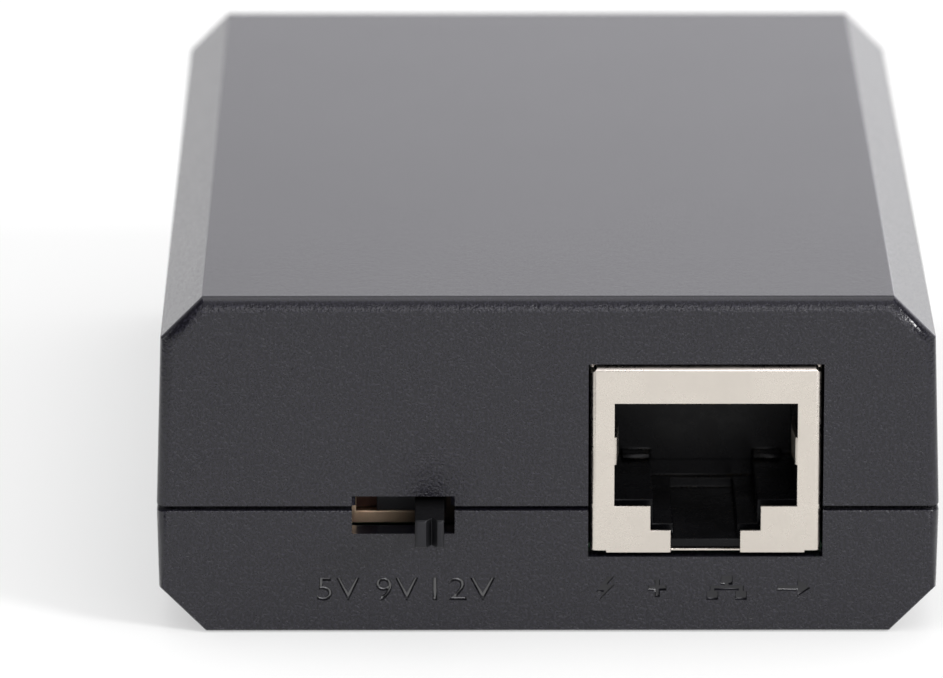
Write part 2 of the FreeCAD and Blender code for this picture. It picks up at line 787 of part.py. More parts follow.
def make_jack_insulator(label, place):
    """Moulded block with the plug cavity, a comb for eight contacts and two board pegs."""
    body = new_body(label, *place)
    front = "moulding_foot"
    outline = rectangle("-moulding_half", "moulding_half", "moulding_foot", "moulding_top")
    pad(body, "block", outline_sketch(body, "XZ_Plane", front, outline), f"jack_depth - 2 * {front}")
    cavity = jack_mouth("cavity_inset", "cavity_floor_rise", "latch_floor")
    sketch = outline_sketch(body, "XZ_Plane", "0", cavity)
    pocket(body, "plug_cavity", sketch, "cavity_depth")

    # Only the foot under the latch slot comes forward to the shield's face
    face = rectangle("-moulding_half - clearance", "moulding_half + clearance", "latch_floor",
                     "moulding_top + clearance")
    sketch = outline_sketch(body, "XZ_Plane", "0", face)
    pocket(body, "face_setback", sketch, f"{front} + ledge_setback")

    # The channel between the two side ledges runs on into the back wall
    step_half = "(mouth_step_width / 2 - cavity_inset)"
    channel = rectangle(
        f"-{step_half}", step_half, "mouth_step_floor + cavity_floor_rise", "channel_brow")
    sketch = outline_sketch(body, "XZ_Plane", "cavity_depth - overlap", channel)
    pocket(body, "channel", sketch, "channel_depth + overlap")

    # The plug stops against a low bar at the back of each ledge
    ledge = "(mouth_floor + cavity_floor_rise)"
    stop = rectangle(
        step_half, f"{step_half} + plug_stop_width", f"{ledge} - overlap", f"{ledge} + plug_stop_height")
    sketch = outline_sketch(body, "XZ_Plane", "cavity_depth - plug_stop_length", stop)
    one_stop = pad(body, "plug_stop", sketch, "plug_stop_length + overlap")
    mirror(body, "plug_stops", [one_stop], "YZ_Plane")

    # The room behind the cavity, where the contacts turn down to the board
    chamber = rectangle(
        "-chamber_half_width", "chamber_half_width", "chamber_floor", "jack_height - chamber_brow")
    sketch = outline_sketch(body, "XZ_Plane", "cavity_depth + cavity_back", chamber)
    pocket(body, "contact_chamber", sketch, "jack_depth")

    slot = rectangle(
        f"{contact_x(1)} - comb_slot_width / 2", f"{contact_x(1)} + comb_slot_width / 2",
        "mouth_top - cavity_inset - overlap", "jack_height - comb_slot_brow")
    sketch = outline_sketch(body, "XZ_Plane", "comb_front", slot)
    comb = pocket(body, "comb_slot", sketch, "cavity_depth + cavity_back")
    repeat(body, "comb", [comb], "X_Axis", "contact_pitch * 7", 8)

    # Relief behind the plug fingers
    recess = rectangle(
        "plug_half - overlap", "plug_half + finger_recess_depth",
        f"{front} - overlap", "mouth_finger_length + mouth_finger_gap")
    sketch = outline_sketch(body, "XY_Plane", "mouth_finger_low - mouth_finger_gap", recess)
    relief = pocket(body, "finger_relief", sketch, "mouth_finger_height + 2 * mouth_finger_gap")
    mirror(body, "finger_reliefs", [relief], "YZ_Plane")

    half_x, half_y = "(contact_width / 2 + lead_gap)", "(contact_thickness / 2 + lead_gap)"
    ways = []
    for number in range(1, 9):
        x, row = contact_x(number), contact_row(number)
        ways.append(rectangle(f"{x} - {half_x}", f"{x} + {half_x}", f"{row} - {half_y}", f"{row} + {half_y}"))
    sketch = outline_sketch(body, "XY_Plane", "chamber_floor + overlap", *ways)
    pocket(body, "contact_ways", sketch, "chamber_floor + clearance", forward=False)
    pegs = [("-peg_spacing / 2", "peg_y", "peg_radius"), ("peg_spacing / 2", "peg_y", "peg_radius")]
    sketch = circle_sketch(body, "XY_Plane", "-(board_thickness + peg_reach)", pegs)
    body.Tip = pad(body, "pegs", sketch, "board_thickness + peg_reach + moulding_foot + overlap")


def make_jack_contact(label, number, place):
    """A flat wire from the board up behind the cavity, over the comb and back down into the cavity."""
    x, y, z, turned = place
    shift = contact_x(number)
    body = new_body(label, f"{x} - ({shift})" if turned else f"{x} + ({shift})", y, z, turned)
    half = "(contact_thickness / 2)"
    row = contact_row(number)
    slope, front, end = "contact_slope * 1 deg", "contact_front", "contact_end"
    corner = "(contact_top - contact_drop)"
    run = f"({end} - {front})"
    back_bend = (f"{row} + {half}", f"contact_top + {half}")
    front_bend = (f"{front} - {half}", f"contact_top + {half}")
    lower_bend = (f"{front} - {half}", f"{corner} + {half} * tan({slope}) - {half} / cos({slope})")
    outline = [
        (f"{row} - {half}", "-lead_end"),
        (f"{row} + {half}", "-lead_end"),
        back_bend,
        front_bend,
        lower_bend,
        (end, f"{corner} - {run} * tan({slope}) - {half} / cos({slope})"),
        (end, f"{corner} - {run} * tan({slope}) + {half} / cos({slope})"),
        (f"{front} + {half}", f"{corner} - {half} * tan({slope}) + {half} / cos({slope})"),
        (f"{front} + {half}", f"contact_top - {half}"),
        (f"{row} - {half}", f"contact_top - {half}"),
    ]
    sketch = outline_sketch(body, "YZ_Plane", "0", outline)
    strip = pad(body, "strip", sketch, "contact_width", middle=True)
    bends = [(size(a), size(b)) for a, b in (back_bend, front_bend, lower_bend)]

    def is_bend(edge):
        point = edge.Vertexes[0].Point
        return runs_along(edge, "x") and any(near(point.y, a) and near(point.z, b) for a, b in bends)

    bevel_edges(body, "bends", strip, "contact_bend", is_bend)


def make_jack(side, place):
    make_jack_shield(f"{side}_jack_shield", place)
    make_jack_insulator(f"{side}_jack_insulator", place)
    for number in range(1, 9):
        make_jack_contact(f"{side}_jack_contact_{number}", number, place)
    x, y, z, turned = place
    sign = "-" if turned else "+"
    for number in range(1, 9):
        lead_x, lead_y = f"{x} {sign} ({contact_x(number)})", f"{y} {sign} {contact_row(number)}"
        slot_board(lead_x, lead_y, "contact_width", "contact_thickness")
    for hand in ("-", "+"):
        drill_board(f"{x} {hand} peg_spacing / 2", f"{y} {sign} peg_y", "peg_radius")
        tab_x = f"{x} {hand} (jack_width - shield_sheet) / 2"
        slot_board(tab_x, f"{y} {sign} shield_tab_y", "shield_sheet", "shield_tab_width")


# The DC outlet, drawn like the jacks


def make_outlet(place):
    x, y, z, turned = place
    axis = "outlet_axis_height"
    half = "(outlet_width / 2)"
    body = new_body("dc_jack_body", *place)
    flange = rectangle(f"-{half}", half, "0", "outlet_height")
    pad(body, "flange", outline_sketch(body, "XZ_Plane", "0", flange), "outlet_flange")
    inset = f"({half} - outlet_body_inset)"
    barrel = rectangle(f"-{inset}", inset, "0", "outlet_height - outlet_body_inset")
    sketch = outline_sketch(body, "XZ_Plane", "outlet_flange", barrel)
    block = pad(body, "barrel", sketch, "outlet_depth - outlet_flange")
    top = size("outlet_height - outlet_body_inset")
    round_edges(
        body, "barrel_round", block, "outlet_body_rounding",
        lambda edge: runs_along(edge, "y") and lies_at(edge, "z", top))
    sketch = circle_sketch(body, "XZ_Plane", "-clearance", [("0", axis, "outlet_bore_radius")])
    pocket(body, "bore", sketch, "outlet_bore_depth + clearance")
    sketch = circle_sketch(body, "XZ_Plane", "0", [("0", axis, "outlet_shank_radius + thread_gap")])
    pocket(body, "pin_seat", sketch, "outlet_depth + clearance")
    half_slot = "(outlet_spring_width / 2 + lead_gap)"
    floor = f"({axis} - outlet_bore_radius)"
    slot = rectangle(
        f"-{half_slot}", half_slot,
        "outlet_spring_front - lead_gap", "outlet_spring_back + outlet_spring_thickness + lead_gap")
    sketch = outline_sketch(body, "XY_Plane", "-clearance", slot)
    pocket(body, "spring_slot", sketch, f"{floor} + 2 * clearance")

    pin = new_body("dc_jack_pin", x, y, f"{z} + {axis}", turned)
    wide, narrow = "outlet_pin_radius", "outlet_shank_radius"
    tip, root = "outlet_pin_setback", "outlet_bore_depth"
    end = "outlet_depth + outlet_terminal_thickness + outlet_pin_tail"
    sketch = outline_sketch(pin, "XY_Plane", "0", [
        ("0", tip), (f"{wide} - outlet_pin_tip", tip), (wide, f"{tip} + outlet_pin_tip"), (wide, root),
        (narrow, root), (narrow, end), ("0", end)])
    turned_pin = pin.newObject("PartDesign::Revolution", "turned")
    turned_pin.Profile = sketch
    turned_pin.ReferenceAxis = (sketch, ["V_Axis"])
    turned_pin.Angle = 360

    # Rear terminal: a flat strip held on the pin's tail
    half_strip = "(outlet_terminal_width / 2)"
    terminal = new_body("dc_jack_terminal", *place)
    strip_top = f"{axis} + outlet_shank_radius + outlet_terminal_margin"
    strip = rectangle(f"-{half_strip}", half_strip, "-lead_end", strip_top)
    pad(terminal, "strip", outline_sketch(terminal, "XZ_Plane", "outlet_depth", strip),
        "outlet_terminal_thickness")
    sketch = circle_sketch(terminal, "XZ_Plane", "0", [("0", axis, "outlet_shank_radius + thread_gap")])
    pocket(terminal, "pin_hole", sketch, "outlet_depth + outlet_terminal_thickness + clearance")

    # Barrel spring: crowned into the bore, then down to the board
    spring = new_body("dc_jack_spring", *place)
    level, thick = f"({floor} - moulding_gap)", "outlet_spring_thickness"
    front, rear = "outlet_spring_front", "outlet_spring_back"
    crown = f"{level} + outlet_spring_crown"
    middle = f"({front} + {rear}) / 2"
    outline = [
        (front, f"{level} - {thick}"),
        (middle, f"{crown} - {thick}"),
        (rear, f"{level} - {thick}"),
        (rear, "-lead_end"),
        (f"{rear} + {thick}", "-lead_end"),
        (f"{rear} + {thick}", level),
        (middle, crown),
        (front, level),
    ]
    pad(spring, "strip", outline_sketch(spring, "YZ_Plane", "0", outline), "outlet_spring_width",
        middle=True)
    sign = "-" if turned else "+"
    slot_board(x, f"{y} {sign} (outlet_depth + outlet_terminal_thickness / 2)",
               "outlet_terminal_width", "outlet_terminal_thickness")
    slot_board(x, f"{y} {sign} (outlet_spring_back + outlet_spring_thickness / 2)",
               "outlet_spring_width", "outlet_spring_thickness")


# The voltage switch, drawn with its frame's face at y = 0 and the knob's axis at z = 0


def make_switch():
    place = ("switch_x", "switch_face", "switch_axis")
    half_width, half_height = "(switch_frame_width / 2)", "(switch_frame_height / 2)"
    to_board = "-(switch_axis_height + lead_end)"

    frame = new_body("switch_frame", *place)
    sketch = outline_sketch(frame, "XZ_Plane", "0", centred(half_width, half_height))
    pad(frame, "block", sketch, "switch_frame_depth")
    hollow = centred(f"{half_width} - switch_sheet", f"{half_height} - switch_sheet")
    sketch = outline_sketch(frame, "XZ_Plane", "switch_sheet", hollow)
    pocket(frame, "hollow", sketch, "switch_frame_depth")
    window = centred("(switch_travel + knob_width) / 2 + switch_gap", "knob_height / 2 + switch_gap")
    sketch = outline_sketch(frame, "XZ_Plane", "-clearance", window)
    pocket(frame, "knob_window", sketch, "clearance + switch_sheet")
    leg = rectangle(
        "(switch_frame_depth - switch_leg_width) / 2", "(switch_frame_depth + switch_leg_width) / 2",
        to_board, f"-{half_height} + switch_sheet")
    sketch = outline_sketch(frame, "YZ_Plane", f"{half_width} - switch_sheet", leg)
    one_leg = pad(frame, "leg", sketch, "switch_sheet")
    mirror(frame, "legs", [one_leg], "YZ_Plane")

    base = new_body("switch_base", *place)
    base_half_width = f"{half_width} - switch_sheet - switch_gap / 2"
    base_half_height = f"{half_height} - switch_sheet - switch_gap / 2"
    sketch = outline_sketch(
        base, "XZ_Plane", "switch_frame_depth - switch_base_thickness",
        centred(base_half_width, base_half_height))
    pad(base, "plate", sketch, "switch_base_thickness")
    half_slot = "(switch_terminal_width / 2 + switch_gap / 2)"
    rise = "(switch_terminal_thickness / 2 + switch_gap / 2)"
    places = [f"switch_pitch * {step / 2}" for step in (-3, -1, 1, 3)]
    slots = [rectangle(f"{shift} - {half_slot}", f"{shift} + {half_slot}", f"-{rise}", rise)
             for shift in places]
    pocket(base, "terminal_slots", outline_sketch(base, "XZ_Plane", "0", *slots),
           "switch_frame_depth + clearance")

    for number, shift in enumerate(places, start=1):
        terminal = new_body(f"switch_terminal_{number}", f"switch_x + {shift}", "switch_face", "switch_axis")
        half = "(switch_terminal_thickness / 2)"
        inner = "(switch_frame_depth - switch_base_thickness)"
        outer = "(switch_frame_depth + switch_terminal_reach)"
        outline = [
            (inner, f"-{half}"),
            (f"{outer} - {half}", f"-{half}"),
            (f"{outer} - {half}", to_board),
            (f"{outer} + {half}", to_board),
            (f"{outer} + {half}", half),
            (inner, half),
        ]
        sketch = outline_sketch(terminal, "YZ_Plane", "0", outline)
        pad(terminal, "strip", sketch, "switch_terminal_width", middle=True)
        slot_board(f"switch_x + {shift}", f"switch_face + {outer}",
                   "switch_terminal_width", "switch_terminal_thickness")
    for hand in ("-", "+"):
        slot_board(f"switch_x {hand} ({half_width} - switch_sheet / 2)",
                   "switch_face + switch_frame_depth / 2", "switch_sheet", "switch_leg_width")

    # The knob rests at the right-hand end of its travel
    knob = new_body("switch_knob", "switch_x + switch_pitch", "switch_face", "switch_axis")
    plate_half_height = f"{half_height} - switch_sheet - switch_gap"
    sketch = outline_sketch(
        knob, "XZ_Plane", "switch_sheet + switch_gap / 2",
        centred("slider_plate_width / 2", plate_half_height))
    pad(knob, "slider_plate", sketch, "slider_plate_thickness")
    tip = "(-switch_setback - knob_reach)"
    sketch = outline_sketch(knob, "XZ_Plane", tip, centred("knob_width / 2", "knob_height / 2"))
    stem = pad(knob, "stem", sketch, "switch_setback + knob_reach + switch_sheet + overlap")
    face = size(tip)
    bevel_edges(knob, "stem_edges", stem, "knob_edge", lambda edge: lies_at(edge, "y", face))
    groove = [
        ("knob_groove_shift - knob_groove_width / 2", f"{tip} - clearance"),
        ("knob_groove_shift + knob_groove_width / 2", f"{tip} - clearance"),
        ("knob_groove_shift + knob_groove_width / 2", tip),
        ("knob_groove_shift", f"{tip} + knob_groove_depth"),
        ("knob_groove_shift - knob_groove_width / 2", tip),
    ]
    sketch = outline_sketch(knob, "XY_Plane", "-knob_height", groove)
    pocket(knob, "grip_groove", sketch, "2 * knob_height")

    # A bent strip on the back of the slider bridges two terminals
    wiper = new_body("switch_wiper", "switch_x + switch_pitch", "switch_face", "switch_axis")
    start = "(switch_sheet + switch_gap / 2 + slider_plate_thickness)"
    stop = "(switch_frame_depth - switch_base_thickness - switch_gap / 2)"
    reach = "switch_pitch * 0.75"
    outline = [
        (f"-({reach})", f"{stop} - wiper_sheet"),
        (f"-({reach}) * 0.6", f"{stop} - wiper_sheet"),
        (f"-({reach}) * 0.3", start),
        (f"({reach}) * 0.3", start),
        (f"({reach}) * 0.6", f"{stop} - wiper_sheet"),
        (f"({reach})", f"{stop} - wiper_sheet"),
        (f"({reach})", stop),
        (f"({reach}) * 0.5", stop),
        (f"({reach}) * 0.2", f"{start} + wiper_sheet"),
        (f"-({reach}) * 0.2", f"{start} + wiper_sheet"),
        (f"-({reach}) * 0.5", stop),
        (f"-({reach})", stop),
    ]
    sketch = outline_sketch(wiper, "XY_Plane", "0", outline)
    pad(wiper, "strip", sketch, "wiper_width", middle=True)


# Parts on the board


def make_transformer():
    """Two E-shaped core halves around a wound bobbin with a pin rail at each end."""
    x, y = across("transformer"), along("transformer")
    half_core, length = "(core_width / 2)", "core_half_length"
    leg_root = "(core_half_length - core_leg)"
    shape = [
        (f"-{half_core}", "0"), (f"-{half_core}", length), (half_core, length), (half_core, "0"),
        (f"{half_core} - core_leg", "0"), (f"{half_core} - core_leg", leg_root),
        ("core_centre_leg / 2", leg_root), ("core_centre_leg / 2", "0"),
        ("-core_centre_leg / 2", "0"), ("-core_centre_leg / 2", leg_root),
        (f"core_leg - {half_core}", leg_root), (f"core_leg - {half_core}", "0"),
    ]
    for name, turned in (("transformer_core_front", True), ("transformer_core_back", False)):
        core = new_body(name, x, y, "board_top + core_seat", turned)
        pad(core, "half", outline_sketch(core, "XY_Plane", "0", shape), "core_height")

    middle = "core_middle"
    tube_x = "(core_centre_leg / 2 + bobbin_gap)"
    tube_z = "(core_height / 2 + bobbin_gap)"
    flange_y = "(core_half_length - core_leg - bobbin_gap)"
    bobbin = new_body("transformer_bobbin", x, y, "board_top")
    tube = rectangle(
        f"-{tube_x} - bobbin_wall", f"{tube_x} + bobbin_wall",
        f"{middle} - {tube_z} - bobbin_wall", f"{middle} + {tube_z} + bobbin_wall")
    pad(bobbin, "tube", outline_sketch(bobbin, "XZ_Plane", "0", tube), f"2 * {flange_y}", middle=True)
    flange_x = f"({half_core} - core_leg - bobbin_gap)"
    flange_top = f"{middle} + winding_height / 2 + bobbin_wall"
    flange = rectangle(f"-{flange_x}", flange_x, "rail_rise", flange_top)
    sketch = outline_sketch(bobbin, "XZ_Plane", f"{flange_y} - bobbin_wall", flange)
    one_flange = pad(bobbin, "flange", sketch, "bobbin_wall")
    rail = rectangle("-rail_width / 2", "rail_width / 2", "rail_rise", "rail_rise + rail_height")
    sketch = outline_sketch(bobbin, "XZ_Plane", f"{flange_y} - bobbin_wall", rail)
    one_rail = pad(bobbin, "rail", sketch, "rail_length")
    mirror(bobbin, "other_end", [one_flange, one_rail], "XZ_Plane")
    passage = rectangle(f"-{tube_x}", tube_x, f"{middle} - {tube_z}", f"{middle} + {tube_z}")
    sketch = outline_sketch(bobbin, "XZ_Plane", "0", passage)
    pocket(bobbin, "core_passage", sketch, "core_half_length * 3", middle=True)
    pin_y = f"({flange_y} + (rail_length - bobbin_wall) / 2)"
    pins = [(f"transformer_pin_pitch * {step / 2}", f"0 {sign} {pin_y}")
            for sign in ("-", "+") for step in (-3, -1, 1, 3)]
    half_pin = "(transformer_pin_width / 2)"
    outlines = [square_at(pin_x, pin_y, half_pin) for pin_x, pin_y in pins]
    sketch = outline_sketch(bobbin, "XY_Plane", "-lead_end", *outlines)
    bobbin.Tip = pad(bobbin, "pins", sketch, "lead_end + rail_rise + overlap")
    for pin_x, pin_y in pins:
        slot_board(f"{x} + {pin_x}", f"{y} + {pin_y}", "transformer_pin_width", "transformer_pin_width")

    winding = new_body("transformer_winding", x, y, f"board_top + {middle}")
    sketch = outline_sketch(winding, "XZ_Plane", "0", centred("winding_width / 2", "winding_height / 2"))
    turns = pad(winding, "turns", sketch, f"2 * ({flange_y} - bobbin_wall)", middle=True)
    bevel_edges(winding, "turn_corners", turns, "winding_bevel", lambda edge: runs_along(edge, "y"))
    hole = centred(f"{tube_x} + bobbin_wall", f"{tube_z} + bobbin_wall")
    sketch = outline_sketch(winding, "XZ_Plane", "0", hole)
    pocket(winding, "bobbin_hole", sketch, "core_half_length * 3", middle=True)


def add_leads(body, pitch, x, y, upright, rise):
    """Two square leads through the board, and their slots."""
    leads = [(f"-{pitch} / 2", "0"), (f"{pitch} / 2", "0")]
    if upright:
        leads = [(b, a) for a, b in leads]
    outlines = [square_at(lead_x, lead_y, "lead_width / 2") for lead_x, lead_y in leads]
    sketch = outline_sketch(body, "XY_Plane", "-lead_end", *outlines)
    body.Tip = pad(body, "leads", sketch, f"lead_end + {rise} + overlap")
    for lead_x, lead_y in leads:
        slot_board(f"{x} + {lead_x}", f"{y} + {lead_y}", "lead_width", "lead_width")


def make_capacitor(label):
    """An upright electrolytic capacitor."""
    x, y = across(label), along(label)
    body = new_body(label, x, y, "board_top")
    wide, low = "capacitor_radius", "capacitor_rise"
    high = "(capacitor_rise + capacitor_height)"
    revolve(body, "can", [
        ("0", low),
        (wide, low),
        (wide, high),
        ("0", high),
    ])
    add_leads(body, "capacitor_lead_pitch", x, y, False, "capacitor_rise")


def make_inductor():
    x, y = across("inductor"), along("inductor")
    core = new_body("inductor_core", x, y, "board_top")
    wide, neck, low = "inductor_radius", "inductor_neck", "capacitor_rise"
    high = "(capacitor_rise + inductor_height)"
    base, top = f"({low} + inductor_flange)", f"({high} - inductor_flange)"
    revolve(core, "drum", [
        ("0", low), (wide, low), (wide, base), (neck, base), (neck, top), (wide, top), (wide, high),
        ("0", high),
    ])
    add_leads(core, "capacitor_lead_pitch", x, y, True, "capacitor_rise")
    coil = new_body("inductor_coil", x, y, "board_top")
    revolve(coil, "turns", [
        (neck, base), ("coil_radius", base), ("coil_radius", top), (neck, top),
    ])


def make_safety_capacitor():
    """A lacquered disc that stands on edge on its two leads."""
    x, y = across("safety_capacitor"), along("safety_capacitor")
    body = new_body("safety_capacitor", x, y, "board_top")
    sketch = circle_sketch(body, "YZ_Plane", "0", [("0", "disc_rise + disc_radius", "disc_radius")])
    pad(body, "disc", sketch, "disc_thickness", middle=True)
    add_leads(body, "disc_lead_pitch", x, y, True, "disc_rise + disc_radius / 2")


def make_chip(label):
    """A moulded chip with gull-wing leads along two sides."""
    width, length, height = f"{label}_width", f"{label}_length", f"{label}_height"
    pitch, reach, count = f"{label}_lead_pitch", f"{label}_lead_reach", LEAD_COUNTS[label]
    body = new_body(label, across(label), along(label), "board_top")
    sketch = outline_sketch(body, "XY_Plane", "chip_rise", centred(f"{width} / 2", f"{length} / 2"))
    block = pad(body, "moulding", sketch, height)
    top = size(f"chip_rise + {height}")
    bevel_edges(body, "moulding_edges", block, "chip_edge", lambda edge: lies_at(edge, "z", top))
    waist = f"(chip_rise + {height} * 0.45)"
    side, foot = f"({width} / 2)", "chip_lead_foot"
    knee = f"({side} + {reach} - {foot})"
    thick = "chip_lead_sheet"
    lead = [
        (f"{side} - overlap", waist), (knee, waist), (knee, thick), (f"{side} + {reach}", thick),
        (f"{side} + {reach}", "0"), (f"{knee} - {thick}", "0"),
        (f"{knee} - {thick}", f"{waist} - {thick}"), (f"{side} - overlap", f"{waist} - {thick}"),
    ]
    other = [(f"-({a})", b) for a, b in lead]
    row = f"({pitch} * {count - 1})"
    formed = [
        pad(body, name, outline_sketch(body, "XZ_Plane", f"-{row} / 2", outline), f"{label}_lead_width",
            middle=True)
        for name, outline in (("lead", lead), ("other_lead", other))]
    if count > 1:
        repeat(body, "lead_row", formed, "Y_Axis", row, count)


def check_document():
    """Stops before anything is written if a feature failed or a cut missed."""
    doc.recompute()
    for item in doc.Objects:
        if "Invalid" in item.State or "Error" in item.State:
            raise RuntimeError(f"{item.Label} of {item.getParentGeoFeatureGroup()}: {item.State}")
    for cut in cuts:
        if not cut.Shape.Volume < cut.BaseFeature.Shape.Volume - 1e-6:
            raise RuntimeError(f"{cut.Label} in {cut.getParentGeoFeatureGroup().Label} cuts nothing")
    for body in nodes:
        if body.Shape.isNull() or not body.Shape.isValid() or len(body.Shape.Solids) != 1:
            raise RuntimeError(f"{body.Label} is not one sound solid")


make_upper_shell()
make_lower_shell()
make_case_screws()
make_jack("input", ("jack_x", "-half_length", "board_top", False))
make_jack("output", ("jack_x", "half_length", "board_top", True))
make_outlet(("outlet_x", "half_length", "board_top", True))
make_switch()
make_transformer()
for capacitor in ("input_capacitor", "output_capacitor_1", "output_capacitor_2"):
    make_capacitor(capacitor)
make_inductor()
make_safety_capacitor()
for chip in CHIPS:
    make_chip(chip)
make_circuit_board()

check_document()
os.makedirs("parts", exist_ok=True)
for body in nodes:
    body.Shape.exportStep(f"parts/{body.Label}.step")
print(len(nodes), "sub-parts")
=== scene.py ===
"""Looks of the power over Ethernet splitter: shells, jacks, switch, outlet, board, stage and camera.

Metres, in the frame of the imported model: X across the case, Y away from the switch end, Z up.
"""

import json
import math

import bmesh
import bpy
from mathutils import Matrix, Vector

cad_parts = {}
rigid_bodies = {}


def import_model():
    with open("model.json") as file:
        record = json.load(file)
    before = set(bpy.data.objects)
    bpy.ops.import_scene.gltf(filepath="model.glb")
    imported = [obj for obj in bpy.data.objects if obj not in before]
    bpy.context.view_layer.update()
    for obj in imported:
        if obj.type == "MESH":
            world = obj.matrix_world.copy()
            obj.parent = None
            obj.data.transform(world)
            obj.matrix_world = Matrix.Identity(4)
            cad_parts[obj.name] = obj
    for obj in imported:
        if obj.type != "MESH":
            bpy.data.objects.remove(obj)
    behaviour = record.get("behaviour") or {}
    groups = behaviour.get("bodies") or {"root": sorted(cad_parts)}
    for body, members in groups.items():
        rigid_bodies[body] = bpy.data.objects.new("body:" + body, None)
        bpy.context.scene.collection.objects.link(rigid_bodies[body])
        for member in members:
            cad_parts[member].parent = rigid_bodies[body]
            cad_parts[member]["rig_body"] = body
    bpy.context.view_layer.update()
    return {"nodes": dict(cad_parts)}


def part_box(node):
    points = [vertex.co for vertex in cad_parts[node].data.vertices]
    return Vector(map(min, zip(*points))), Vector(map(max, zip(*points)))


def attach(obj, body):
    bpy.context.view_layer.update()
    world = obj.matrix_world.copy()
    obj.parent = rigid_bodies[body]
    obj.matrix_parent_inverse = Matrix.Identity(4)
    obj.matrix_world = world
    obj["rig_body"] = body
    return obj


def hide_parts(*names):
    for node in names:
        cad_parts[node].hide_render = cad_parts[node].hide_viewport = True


bl_info = {
    "name": "Splitter looks",
    "version": (1, 0, 0),
    "blender": (4, 5, 0),
    "location": "View3D > Sidebar > Splitter",
    "description": "Finishes, engraving, lamps and camera for a power over Ethernet splitter",
    "category": "Object",
}

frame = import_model()
MM = 0.001
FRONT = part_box("lower_shell")[0].y
CASE_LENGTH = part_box("lower_shell")[1].y - FRONT
CASE_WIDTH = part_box("upper_shell")[1].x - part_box("upper_shell")[0].x

MERGE_DISTANCE = 0.002 * MM
FLAT_ANGLE = math.radians(0.6)
TOLERANCE = 0.02 * MM
# How far in from the outer faces a shell's outer rim lies at most
RIM_REACH = 0.3 * MM
EDGE_ANGLE = math.radians(35)
# The table lies this much above the case's foot, so that the two don't flicker
FLOOR_LIFT = 0.02 * MM
FLOOR_REACH = 3

CAPITAL_SHARE = 0.72
LETTER_SPACING = 1.12
STROKE_SLOPE = 0.4
STROKE_NARROWING = 0.9
# The figures, each with its left and right ends along X
FIGURES = (
    ("5V", -15.94 * MM, -13.0 * MM), ("9V", -11.89 * MM, -8.95 * MM), ("12V", -7.95 * MM, -3.63 * MM))
# The strokes' finishes: name, specular level and clear coat
FIGURE_POLISH, SIGN_POLISH = 0, 1
POLISHES = (("Polished figures", 0.9, 1.0), ("Polished signs", 0.55, 0.0))
POLISH_ROUGHNESS = 0.14

SHELL_SPECULAR = 0.45
# Paler colour of the case's pits: partly grain and partly painted glints.
GRAIN_AND_GLINT_TONE = 2.6
# Where the grain changes: the normal's Z on upward faces, and X squared times Y squared on corners
UPWARD = (0.6, 0.7)
CORNERWISE = (0.01, 0.08)
# Painted shade: factors that darken the knob's colour away from its front.
KNOB_PAINTED_SHADE_TONES = (0.3, 0.25)
DULL_ROUGHNESS = 0.42

# What reflections see of the room. Each is a product of fades along the direction's X, Y or Z:
# the axis, where the fade starts and ends, and its value at both.
BACKDROP = (
    ("Y", 0.3, 0.75, 0, 1), ("Z", 0.68, 0, 0, 1), ("X", -0.15, 0.3, 1, 1.7), ("X", -0.3, -0.1, 0.72, 1))
SOFTBOX = (
    ("Y", -0.3, -0.5, 0, 1), ("Z", 0.06, 0.16, 0, 1), ("Z", 0.6, 0.45, 0, 1), ("X", -0.25, -0.1, 0, 1),
    ("X", -0.05, 0.2, 1, 2), ("X", 0.5, 0.3, 0, 1))
OVERHEAD = (("Z", 0.5, 0.75, 0, 1), ("X", -0.4, -0.15, 0, 1))
HIGHEST_FADE = 2
ROOM_TINT = (0.97, 0.96, 1, 1)

# Lamps: place and diameter
KEY_LAMP = ((0.8, -0.56, 0.5), 0.28)
TOP_LAMP = ((0.1, 0.3, 1.05), 0.9)
LAMP_TARGET = (0, 0, 0.01)

SENSOR_WIDTH = 36
CLIP_RANGE = (0.05, 20)


# Sizes and colours that a user would change


